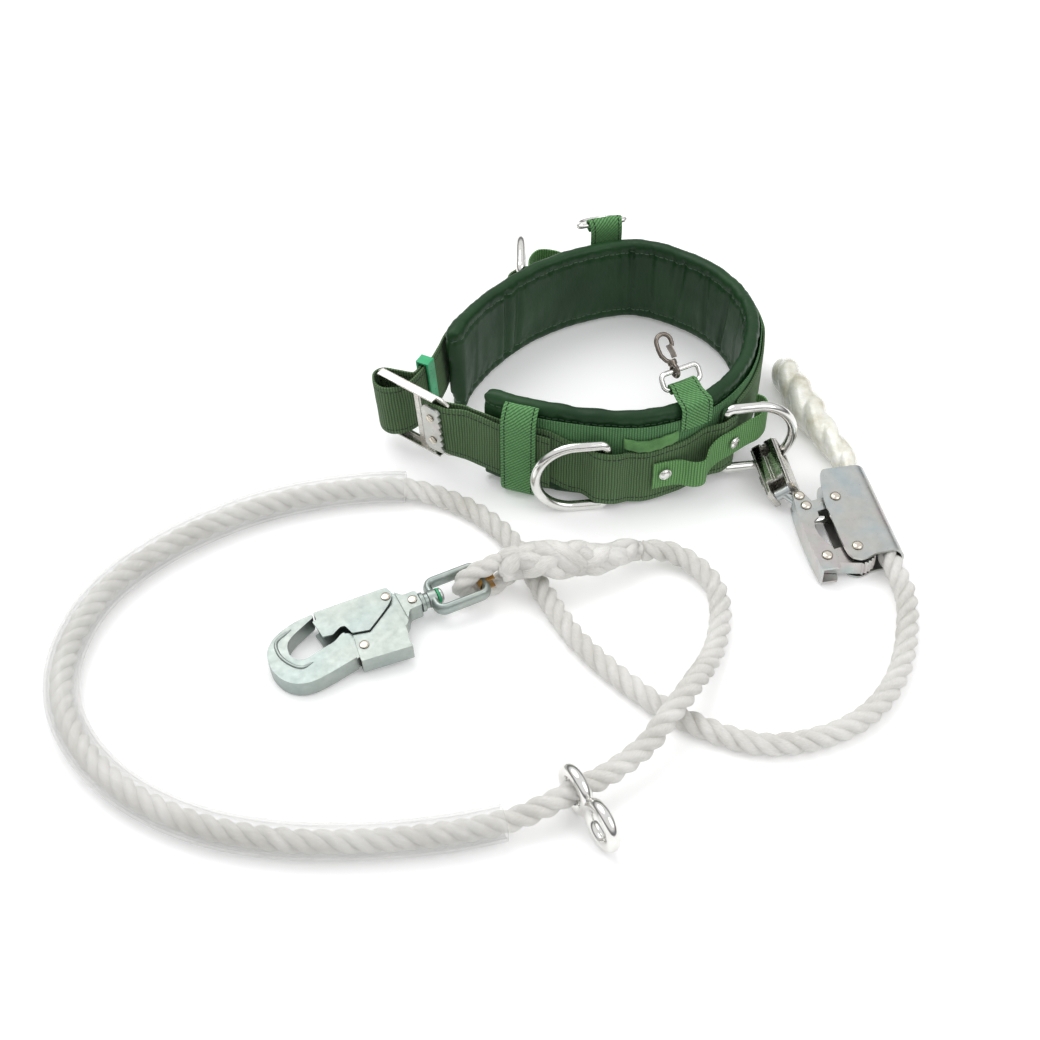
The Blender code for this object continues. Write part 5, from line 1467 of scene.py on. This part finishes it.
def make_housing():
    """The folded plate round the rope, on two rivets."""
    place = grip_place()
    middle = (GRIP_LOW + GRIP_HIGH) / 2
    outer = (GRIP_HIGH - GRIP_LOW) / 2
    section = [(-0.030, GRIP_LOW)] + arc((ROPE_LANE, middle), outer, -90, 90, 9)
    section += [(-0.030, GRIP_HIGH), (-0.030, GRIP_HIGH - GRIP_PLATE)]
    section += arc((ROPE_LANE, middle), outer - GRIP_PLATE, 90, -90, 9)
    section.append((-0.030, GRIP_LOW + GRIP_PLATE))
    rings = [[Vector((x, y, z)) for y, z in section] for x in (-0.0440, 0.0530)]
    housing = node("grip_housing", skin(rings), zinc_plate(), place)
    outline = [(-0.0440, -0.0060), (-0.0415, -0.0090), (-0.0350, -0.0110), (-0.0160, -0.0152)]
    outline += [(0.0040, -0.0160), (0.0430, -0.0160), (0.0500, -0.0130), (0.0530, -0.0070)]
    outline += [(0.0520, -0.0010), (0.0480, 0.0060), (0.0480, 0.0400), (-0.0410, 0.0400)]
    outline += [(-0.0440, 0.0370)]
    cut(housing, prism(rounded(outline, 0.0016), -0.01, 0.04), "INTERSECT")
    names = ("housing_rivet_upper", "housing_rivet_lower")
    for name, spot in zip(names, HOUSING_PIVOTS):
        cut(housing, upright_hole(spot))
        dome_rivet(name, place, spot, GRIP_LOW + GAP, GRIP_HIGH)


def nearest(line, place):
    """The index of the line's point nearest to a place seen from above."""
    gaps = [(p.x - place[0]) ** 2 + (p.y - place[1]) ** 2 for p in line]
    return gaps.index(min(gaps))


def spliced(stops):
    """Places and radii on a smooth line through stops of (x, y, z, radius)."""
    places = smooth_line([s[:3] for s in stops], ROPE_STEP)
    swept = smooth_line([(i, s[3] * 1000, 0.0) for i, s in enumerate(stops)], 0.05)
    count = len(places) - 1
    radii = []
    for i in range(count + 1):
        wanted = (len(stops) - 1) * i / count
        radii.append(min(swept, key=lambda r: abs(r.x - wanted)).y / 1000)
    return places, radii


# ------------------------------------------------------------------ rope and what is on it
LAY = 0.038  # one whole turn of a strand
TUCK = 0.088  # one whole turn of a strand round the eye splice
ROPE_STEP = 0.0022  # between rings of the rope's mesh
TAIL_ROUND = 0.011  # how much of the tail splice's end is rounded off


def laid(name, places, radii, finish, lay=LAY, squash=0.58, points=12, loose=0.0):
    """Three strands twisted together, right-handed, through places with a radius at each. With no
    name it gives the bare shape."""
    shape = bmesh.new()
    layer = shape.loops.layers.uv.new("UVMap")
    rings, marks = [], []
    along_now = 0.0
    if not hasattr(radii, "__len__"):
        radii = [radii] * len(places)
    for i, (p, side, up) in enumerate(carried(places)):
        if i:
            along_now += (p - places[i - 1]).length
        radius = radii[i]
        twist = 2 * math.pi * along_now / lay
        ring, mark = [], []
        for strand in range(3):
            plump = 1.0 + loose * noise.noise(Vector((along_now * 45.0, strand * 7.0, 1.0)))
            centre, own = radius * (1 - squash), radius * squash
            for k in range(points):
                phi = math.radians(-60 + 120 * k / points)
                bulge = math.sqrt(max(own**2 - (centre * math.sin(phi)) ** 2, 0.0))
                reach = (centre * math.cos(phi) + bulge) * plump
                angle = twist + strand * 2 * math.pi / 3 + phi
                out = side * math.cos(angle) + up * math.sin(angle)
                ring.append(shape.verts.new(p + out * reach))
                mark.append((along_now, angle * radius))
        rings.append(ring)
        marks.append(mark)
    count = len(rings[0])
    for i in range(len(rings) - 1):
        for k in range(count):
            j = (k + 1) % count
            made = shape.faces.new((rings[i][k], rings[i][j], rings[i + 1][j], rings[i + 1][k]))
            wrap = 2 * math.pi * radii[i] if j == 0 else 0.0
            a, b, c, d = marks[i][k], marks[i][j], marks[i + 1][j], marks[i + 1][k]
            for loop, uv in zip(made.loops, (a, (b[0], b[1] + wrap), (c[0], c[1] + wrap), d)):
                loop[layer].uv = uv
    shape.faces.new(rings[0])
    shape.faces.new(reversed(rings[-1]))
    return node(name, shape, finish, None, 75.0) if name else shape


def rope_places():
    return smooth_line(ROUTE, ROPE_STEP)


def make_rope():
    """The lanyard's three-strand rope, slightly uneven."""
    laid("rope", rope_places(), ROPE / 2 + 0.0002, white_nylon(), loose=0.05)


def make_sleeve():
    """The clear hose that protects the rope where it goes round a trunk."""
    fine = smooth_line(ROUTE, 0.0040)
    part = fine[nearest(fine, SLEEVE_FROM) : nearest(fine, SLEEVE_TO) + 1]
    part = resampled(part, 0.0060)
    outer, inner = [], []
    for i, p in enumerate(part):
        along = part[min(i + 1, len(part) - 1)] - part[max(i - 1, 0)]
        side = Vector((along.y, -along.x, 0.0)).normalized()
        middle = Vector((p.x, p.y, SLEEVE_OUT + GAP))
        for ring, radius in ((outer, SLEEVE_OUT), (inner, SLEEVE_IN)):
            turn = circle((0, 0), radius, 32)
            ring.append([middle + side * x + Vector((0, 0, y)) for x, y in turn])
    node("rope_sleeve", skin(outer + inner[::-1], closed=True), clear_pvc(), None, 50)


def make_splices():
    """The filmed tail splice above the grip, and the eye splice at the hook."""
    places, radii = spliced(TAIL_SPLICE)
    for i, radius in enumerate(radii):
        left = (len(radii) - 1 - i) * ROPE_STEP
        if left < TAIL_ROUND:
            dome = math.sqrt(max(0.0, 1 - (1 - left / TAIL_ROUND) ** 2))
            radii[i] = max(0.0015, radius * dome)
    laid("tail_splice", places, [r * 1.05 for r in radii], film(), 0.085, 0.74, 12, 0.16)
    eye_splice()


def tucked_strand(places, radii, hand, strand):
    """One strand of the splice, which winds round it and dips over and under the others."""
    path, sizes = [], []
    side = None
    run = 0.0
    last = len(places) - 1
    for i in range(2, last + 1):
        p = places[i]
        run += (p - places[i - 1]).length
        along = (places[min(i + 1, last)] - places[i - 1]).normalized()
        if side is None:
            side = along.cross(Vector((0, 0, 1)))
        side = (side - along * side.dot(along)).normalized()
        up = along.cross(side)
        wound = 2 * math.pi * run / TUCK
        turn = hand * wound + strand * 2 * math.pi / 3 + (0.5 if hand < 0 else 0.0)
        over = math.sin(hand * 3 * wound + strand * math.pi + (0 if hand > 0 else math.pi))
        own = min(0.0062, radii[i] * 0.50) * (0.60 + 0.40 * ease(run, 0.0, 0.020))
        reach = radii[i] - own + 0.0007 * over
        path.append(p + (side * math.cos(turn) + up * math.sin(turn)) * reach)
        sizes.append(own * (0.95 + 0.10 * over))
    return one_strand(path, sizes)


def eye_splice():
    """Rope laid round the eye's bar, and its strands tucked back under those of the standing part."""
    places, radii = spliced(EYE_SPLICE)
    core = laid(None, places, [r * 0.93 for r in radii], None, 0.070, 0.60, 8, 0.04)
    base = node("eye_splice", core, white_nylon(), None, 75.0)
    parts = []
    for hand in (1, -1):
        for strand in range(3):
            parts.append(tucked_strand(places, radii, hand, strand))
    place = hook_place()
    reach = 0.0104
    loop = [(EYE_BAR + 0.0300, 0.0105), (EYE_BAR + 0.0150, 0.0112), (EYE_BAR + 0.0050, 0.0110)]
    loop += [(EYE_BAR + u * 1.55, w) for u, w in arc((0.0, 0.0), reach, 90, 270, 5)]
    loop += [(EYE_BAR + 0.0050, -0.0106), (EYE_BAR + 0.0120, -0.0106), (EYE_BAR + 0.0230, -0.0050)]
    path = [place @ Vector((u, SWIVEL_SIDE, w)) for u, w in loop]
    line = smooth_line(path, 0.0020)
    parts.append(laid(None, line, 0.0072, None, 0.036, 0.60, 8, 0.05))
    whole = bmesh.new()
    whole.from_mesh(base.data)
    for part in parts:
        bmesh.ops.recalc_face_normals(part, faces=part.faces)
        extra = bpy.data.meshes.new("strand")
        part.to_mesh(extra)
        part.free()
        whole.from_mesh(extra)
        bpy.data.meshes.remove(extra)
    whole.to_mesh(base.data)
    whole.free()
    base.data.shade_smooth()


def one_strand(path, sizes, sides=14):
    """One strand as a round tube with UVs in metres."""
    shape = bmesh.new()
    layer = shape.loops.layers.uv.new("UVMap")
    rings = []
    for (p, side, up), size in zip(carried(path), sizes):
        turn = circle((0, 0), size, sides)
        rings.append([shape.verts.new(p + side * x + up * y) for x, y in turn])
    for i in range(len(path) - 1):
        for k in range(sides):
            j = (k + 1) % sides
            made = shape.faces.new((rings[i][k], rings[i][j], rings[i + 1][j], rings[i + 1][k]))
            marks = ((i, k), (i, k + 1), (i + 1, k + 1), (i + 1, k))
            for loop, (a, b) in zip(made.loops, marks):
                loop[layer].uv = (a * ROPE_STEP, b / sides * 2 * math.pi * 0.005)
    shape.faces.new(rings[0])
    shape.faces.new(reversed(rings[-1]))
    return shape


def make_thimble():
    """The liner inside the spliced eye, open towards the splice."""
    place = hook_place()
    outline = [(EYE_BAR + 0.0080, 0.0041)] + arc((EYE_BAR, 0.0), 0.0041, 90, 270, 9)
    outline.append((EYE_BAR + 0.0080, -0.0041))
    profile = thickened(outline, 0.0010)
    rings = [[Vector((u, SWIVEL_SIDE + v, w)) for u, w in profile] for v in (-0.0070, 0.0070)]
    node("thimble", skin(rings), amber_plastic(), place)


def make_figure8():
    """Two joined steel rings that slide on the rope, standing on edge."""
    up = Vector((0, 0, 1))
    place = axes_at(FIGURE8_AT, FIGURE8_LONG, up.cross(FIGURE8_LONG), up)
    ring = [Vector((0.0140 * math.cos(a), 0.0, 0.0140 * math.sin(a))) for a in full_turn(20)]
    shape = node("figure8_ring", tube(ring, 0.0046, 8, True), polished_steel(), place)
    tilt = Matrix.Translation((0.0312, 0.0, -0.0003)) @ Matrix.Rotation(math.radians(5), 4, "Y")
    second = tube([tilt @ p for p in ring], 0.0045, 8, True)
    cut(shape, second, "UNION")


def hook_place():
    """X along the hook towards its swivel, Y across towards the gate, Z out of its face."""
    level, climb = math.cos(HOOK_TILT), math.sin(HOOK_TILT)
    along = Vector((math.cos(HOOK_ANGLE) * level, math.sin(HOOK_ANGLE) * level, climb))
    return placed(HOOK_CENTRE, along, (0, 0, 1))


GATE_PIVOT = (0.0426, 0.0212)
LEVER_PIVOT = (0.0133, -0.0117)
NECK_HALF = 0.0066  # half thickness of the forged body
TONGUE_HALF = 0.0050
LEVER_PLATES = (0.0053, 0.0064)
GATE_PLATES = (0.0069, 0.0081)


def swivel_turned(profile, sides=12):
    """A profile turned about the hook's swivel axis."""
    return shifted(turned(profile, sides, "X"), (0, SWIVEL_SIDE, 0))


def make_hook():
    """The forged body, with its tongue for the gate and lever, its collar and the neck's rivet."""
    place = hook_place()
    outline = [(-0.0100, 0.0315), (-0.0240, 0.0308), (-0.0395, 0.0252), (-0.0475, 0.0180)]
    outline += [(-0.0518, 0.0090), (-0.0523, -0.0030), (-0.0490, -0.0140), (-0.0430, -0.0213)]
    outline += [(-0.0350, -0.0252), (-0.0260, -0.0258), (-0.0110, -0.0232), (0.0080, -0.0190)]
    outline += [(0.0300, -0.0150), (0.0480, -0.0070), (0.0540, 0.0036), (0.0640, 0.0036)]
    outline += [(0.0640, 0.0184), (0.0540, 0.0184), (0.0490, 0.0250), (0.0430, 0.0272)]
    outline += [(0.0380, 0.0240), (0.0340, 0.0120), (0.0200, 0.0010), (0.0110, 0.0015)]
    outline += [(0.0060, 0.0055), (0.0020, 0.0050), (-0.0040, 0.0005), (-0.0118, -0.0008)]
    outline += [(-0.0275, -0.0050), (-0.0330, -0.0028), (-0.0366, 0.0030), (-0.0360, 0.0110)]
    outline += [(-0.0322, 0.0176), (-0.0150, 0.0262), (-0.0100, 0.0285)]
    body = node("hook_body", prism(rounded(outline, 0.0025), -NECK_HALF, NECK_HALF), zinc_plate(), place)
    for side in (1, -1):
        low, high = sorted((side * TONGUE_HALF, side * 0.02))
        cut(body, box((0.0046, -0.04, low), (0.0500, 0.04, high)))
    cut(body, swivel_turned([(0.0038, 0.0560), (0.0038, 0.0700)]))
    cut(body, upright_hole(GATE_PIVOT, 0.0023))
    cut(body, upright_hole(LEVER_PIVOT, 0.0023))
    collar = [(0.0072, 0.0643), (0.0072, 0.0670), (0.0058, 0.0676), (0.0058, 0.0702)]
    ring = node("hook_collar", swivel_turned(collar, 14), zinc_plate(), place)
    cut(ring, swivel_turned([(0.0038, 0.0500), (0.0038, 0.0800)]))
    rivet = turned([(0.0034, NECK_HALF + GAP), (0.0034, 0.0076), (0.0018, 0.0083)], 12)
    node("neck_rivet", shifted(rivet, (0.0590, SWIVEL_SIDE, 0)), zinc_plate(), place)


def folded_plate(name, outline, hollow, plates, place):
    """A channel that straddles the hook: an outline less the space between its two cheeks."""
    shape = node(name, prism(rounded(outline, 0.0009), -plates[1], plates[1]), zinc_plate(), place)
    cut(shape, prism(hollow, -plates[0], plates[0]))
    return shape


def through_rivet(name, spot, half, place):
    """A rivet through both cheeks of a folded plate, headed at both ends."""
    profile = [(0.0036, -half - 0.0012), (0.0036, -half - GAP), (0.0020, -half - GAP)]
    profile += [(0.0020, half + GAP), (0.0036, half + GAP), (0.0034, half + 0.0010)]
    profile += [(0.0014, half + 0.0017)]
    node(name, turned(profile, 12), zinc_plate(), place @ Matrix.Translation((*spot, 0.0)))


def make_hook_moving():
    """The gate, the safety lever, their rivets and the spring."""
    place = hook_place()
    gate = [(-0.0090, 0.0313), (-0.0090, 0.0243), (-0.0124, 0.0235), (-0.0112, 0.0150)]
    gate += [(-0.0104, 0.0072), (-0.0034, 0.0059), (0.0036, 0.0100), (0.0070, 0.0096)]
    gate += [(0.0094, 0.0010), (0.0212, -0.0020), (0.0440, 0.0146), (0.0480, 0.0230)]
    gate += [(0.0462, 0.0288), (0.0425, 0.0298), (-0.0036, 0.0310)]
    hollow = [(-0.0200, 0.0290), (-0.0200, -0.0100), (0.0600, -0.0100), (0.0600, 0.0340)]
    hollow += [(0.0410, 0.0340), (0.0360, 0.0282), (-0.0036, 0.0292)]
    plate = folded_plate("hook_gate", gate, hollow, GATE_PLATES, place)
    cut(plate, upright_hole(GATE_PIVOT, 0.0023))
    through_rivet("gate_rivet", GATE_PIVOT, GATE_PLATES[1], place)
    lever = [(0.0094, 0.0002), (0.0078, -0.0115), (0.0066, -0.0200), (0.0064, -0.0245)]
    lever += [(0.0435, -0.0283), (0.0432, -0.0220), (0.0460, -0.0108), (0.0452, 0.0080)]
    lever += [(0.0434, 0.0132), (0.0214, -0.0028)]
    hollow = [(0.0000, 0.0200), (0.0000, -0.0222), (0.0500, -0.0268), (0.0500, 0.0200)]
    plate = folded_plate("safety_lever", lever, hollow, LEVER_PLATES, place)
    cut(plate, upright_hole(LEVER_PIVOT, 0.0023))
    through_rivet("lever_rivet", LEVER_PIVOT, LEVER_PLATES[1], place)
    make_gate_spring(place)


def make_gate_spring(place):
    """The coil behind the gate, inside the folded plates."""
    coil = []
    turns = 4
    for i in range(turns * 8 + 1):
        angle = 2 * math.pi * i / 8
        across = -0.0030 + 0.0060 * i / (turns * 8)
        coil.append(Vector((0.0285 + 0.0034 * math.cos(angle), 0.0190 + 0.0034 * math.sin(angle), across)))
    node("gate_spring", tube(coil, 0.0005, 6), zinc_plate(), place)


def make_swivel():
    """The oval eye, its pin through the hook's neck, and the green washer."""
    place = hook_place()
    side = SWIVEL_SIDE
    start, end, half, bend = 0.0740, EYE_BAR, 0.0140, 0.0058
    loop = arc((end - bend, side + half - bend), bend, 90, 0, 5)
    loop += arc((end - bend, side - half + bend), bend, 0, -90, 5)
    loop += arc((start + bend, side - half + bend), bend, -90, -180, 5)
    loop += arc((start + bend, side + half - bend), bend, 180, 90, 5)
    path = [Vector((x, y, 0.0)) for x, y in loop]
    bar = tube(path, 0.0032, 10, True)
    bmesh.ops.scale(bar, vec=(1.0, 1.0, 1.6), verts=bar.verts)
    eye = node("swivel_eye", bar, zinc_plate(), place)
    base = [(0.0062, 0.0706), (0.0064, 0.0712), (0.0064, 0.0764), (0.0058, 0.0770)]
    cut(eye, swivel_turned(base, 14), "UNION")
    cut(eye, swivel_turned([(0.0038, 0.0650), (0.0038, 0.0800)]))
    pin = [(0.0035, 0.0565), (0.0035, 0.0793), (0.0056, 0.0793), (0.0056, 0.0806), (0.0040, 0.0818)]
    node("swivel_pin", swivel_turned(pin), zinc_plate(), place)
    washer = [(0.0038, 0.0773), (0.0060, 0.0773), (0.0060, 0.0790), (0.0038, 0.0790)]
    rings = []
    for radius, along in washer:
        turn = circle((side, 0.0), radius, 36)
        rings.append([Vector((along, y, z)) for y, z in turn])
    node("swivel_washer", skin(rings, closed=True), green_plastic(), place)


def add_hook_bead():
    """The raised bead round the hook's throat, sunk half into its face."""
    body = LOOKS["hook_body"]
    for face_side in (1, -1):
        line = [(-0.0280, 0.0250), (-0.0410, 0.0190), (-0.0430, 0.0070), (-0.0390, -0.0040)]
        line += [(-0.0325, -0.0108), (-0.0240, -0.0098)]
        places = smooth_line([(x, y, face_side * NECK_HALF) for x, y in line], 0.0016)
        sizes = [0.0013 * (0.35 + 0.65 * ease(min(i, len(places) - 1 - i), 0, 5)) for i in range(len(places))]
        cut(body, tube(places, sizes, 8), "UNION")


# ------------------------------------------------------------------ everything
# How wide the rounding of a piece's edges is.
EDGES = {
    "hook_body": 0.0020,
    "connector_body": 0.0005,
    "buckle_frame": 0.0004,
    "grip_housing": 0.0003,
    "grip_arm": 0.0003,
    "slide_keeper": 0.0006,
    "swivel_eye": 0.0002,
}
COMMON_EDGE = 0.00022
# Soft pieces, bent rod and wire, and turned studs need no rounding.
NO_EDGE = {
    "back_pad", "pad_webbing", "main_belt", "keeper_loop", "ring_strap", "tool_strap_near",
    "tool_strap_far", "tab_near", "tab_far", "rope", "rope_sleeve", "tail_splice", "eye_splice",
    "dring_front", "dring_hip", "dring_far", "tab_ring_near", "tab_ring_far", "figure8_ring",
    "gate_spring", "strap_stud_front", "strap_stud_hip",
}
# Pieces that look different from the slot's own finish.
OWN_FINISH = {
    satin_steel: ("connector_body", "connector_latch", "buckle_frame"),
    hook_zinc: ("hook_body", "hook_collar", "hook_gate", "safety_lever", "swivel_eye"),
}


def settle_pieces():
    """Applies the cuts and edge rounding, moves every piece into the row frame and hangs it on its body."""
    for name, obj in LOOKS.items():
        if name in NO_EDGE:
            continue
        edge = obj.modifiers.new("edge", "BEVEL")
        edge.width = EDGES.get(name, COMMON_EDGE)
        edge.segments = 3 if edge.width > 0.001 else 2
        edge.limit_method = "ANGLE"
        edge.angle_limit = math.radians(38)
    bpy.context.view_layer.update()
    now = bpy.context.evaluated_depsgraph_get()
    made = {}
    for name, obj in LOOKS.items():
        if obj.modifiers:
            made[name] = bpy.data.meshes.new_from_object(obj.evaluated_get(now))
    for name, mesh in made.items():
        obj = LOOKS[name]
        obj.modifiers.clear()
        obj.data = mesh
        mesh.shade_smooth()
        mesh.set_sharp_from_angle(angle=math.radians(48))
        if name not in NO_EDGE:
            even = obj.modifiers.new("even", "WEIGHTED_NORMAL")
            even.keep_sharp = True
            even.weight = 90
    for tool in [o for o in bpy.data.objects if "_cutter" in o.name]:
        bpy.data.objects.remove(tool, do_unlink=True)
    own = {name: build for build, names in OWN_FINISH.items() for name in names}
    own.update((name, rivet_steel) for name in LOOKS if "rivet" in name)
    for name, build in own.items():
        LOOKS[name].data.materials[0] = build()
    for name, obj in LOOKS.items():
        obj.matrix_world = Matrix.Translation(-MIDDLE) @ obj.matrix_world
        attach(obj, BODY_OF[name])
        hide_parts(name)


LAMPS = (
    ("key_light", (-0.9, 0.8, 2.3), 2.2, 27.0),
    ("fill_light", (1.5, -1.0, 1.9), 1.8, 12.0),
)
LAMP_AIM = Vector((0, -0.05, 0))
# The sky's grey from straight below to straight above; its dark band gives the metal an edge.
SKY = [(0.0, 0.60), (0.12, 0.16), (0.26, 0.32), (0.46, 1.0), (1.0, 1.0)]
CAMERA_AT = Vector((-0.0536, -0.9365, 0.8839))
CAMERA_AIM = Vector((-0.0536, -0.0525, 0.0))


def make_floor():
    mesh = bpy.data.meshes.new("floor")
    shape = bmesh.new()
    bmesh.ops.create_grid(shape, x_segments=1, y_segments=1, size=4.0)
    shape.to_mesh(mesh)
    shape.free()
    floor = bpy.data.objects.new("floor", mesh)
    bpy.context.scene.collection.objects.link(floor)
    s = Surface("floor_paper", 0.9)
    s.fix(specular_ior_level=0.1, emission_color=(1.0, 1.0, 1.0, 1.0), emission_strength=0.16)
    paper = s.ramp(s.noise(3.0, 2.0), [(0.3, (0.90, 0.90, 0.90)), (0.7, (0.91, 0.91, 0.91))])
    mesh.materials.append(s.finish(paper))


def make_sky():
    world = bpy.data.worlds.new("studio")
    bpy.context.scene.world = world
    world.use_nodes = True
    tree = world.node_tree
    places = tree.nodes.new("ShaderNodeTexCoord")
    parts = tree.nodes.new("ShaderNodeSeparateXYZ")
    ramp = tree.nodes.new("ShaderNodeValToRGB")
    sky = tree.nodes["Background"]
    tree.links.new(places.outputs["Generated"], parts.inputs[0])
    tree.links.new(parts.outputs["Z"], ramp.inputs["Fac"])
    tree.links.new(ramp.outputs["Color"], sky.inputs["Color"])
    while len(ramp.color_ramp.elements) < len(SKY):
        ramp.color_ramp.elements.new(0.5)
    for element, (at, grey) in zip(ramp.color_ramp.elements, SKY):
        element.position = at
        element.color = (grey, grey, grey * 1.01, 1.0)
    sky.inputs["Strength"].default_value = 0.90


def aimed(name, data, place, aim):
    """A lamp or a camera at a place, looking at another."""
    obj = bpy.data.objects.new(name, data)
    bpy.context.scene.collection.objects.link(obj)
    obj.location = place
    obj.rotation_euler = (aim - obj.location).to_track_quat("-Z", "Y").to_euler()
    return obj


def make_studio():
    make_floor()
    make_sky()
    for name, place, size, power in LAMPS:
        light = bpy.data.lights.new(name, "AREA")
        light.shape = "DISK"
        light.size = size
        light.energy = power
        aimed(name, light, place, LAMP_AIM)
    lens = bpy.data.cameras.new("camera")
    lens.sensor_width = 36.0
    lens.lens = 36.0 * 1635 / 1040
    bpy.context.scene.camera = aimed("camera", lens, CAMERA_AT, CAMERA_AIM)
    bpy.context.scene.view_settings.view_transform = "Standard"


for make in (
    make_studio, make_pad, make_pad_webbing, make_main_belt, make_keeper, make_ring_strap,
    make_tool_straps, make_strap_rivets, make_tabs, make_slide_keeper, make_buckle,
    make_large_rings, make_tab_rings, make_clip, make_connector, make_grip_arm, make_links,
    make_housing, make_rope, make_sleeve, make_splices, make_thimble, make_figure8, make_hook,
    add_hook_bead, make_hook_moving, make_swivel,
):
    make()
settle_pieces()
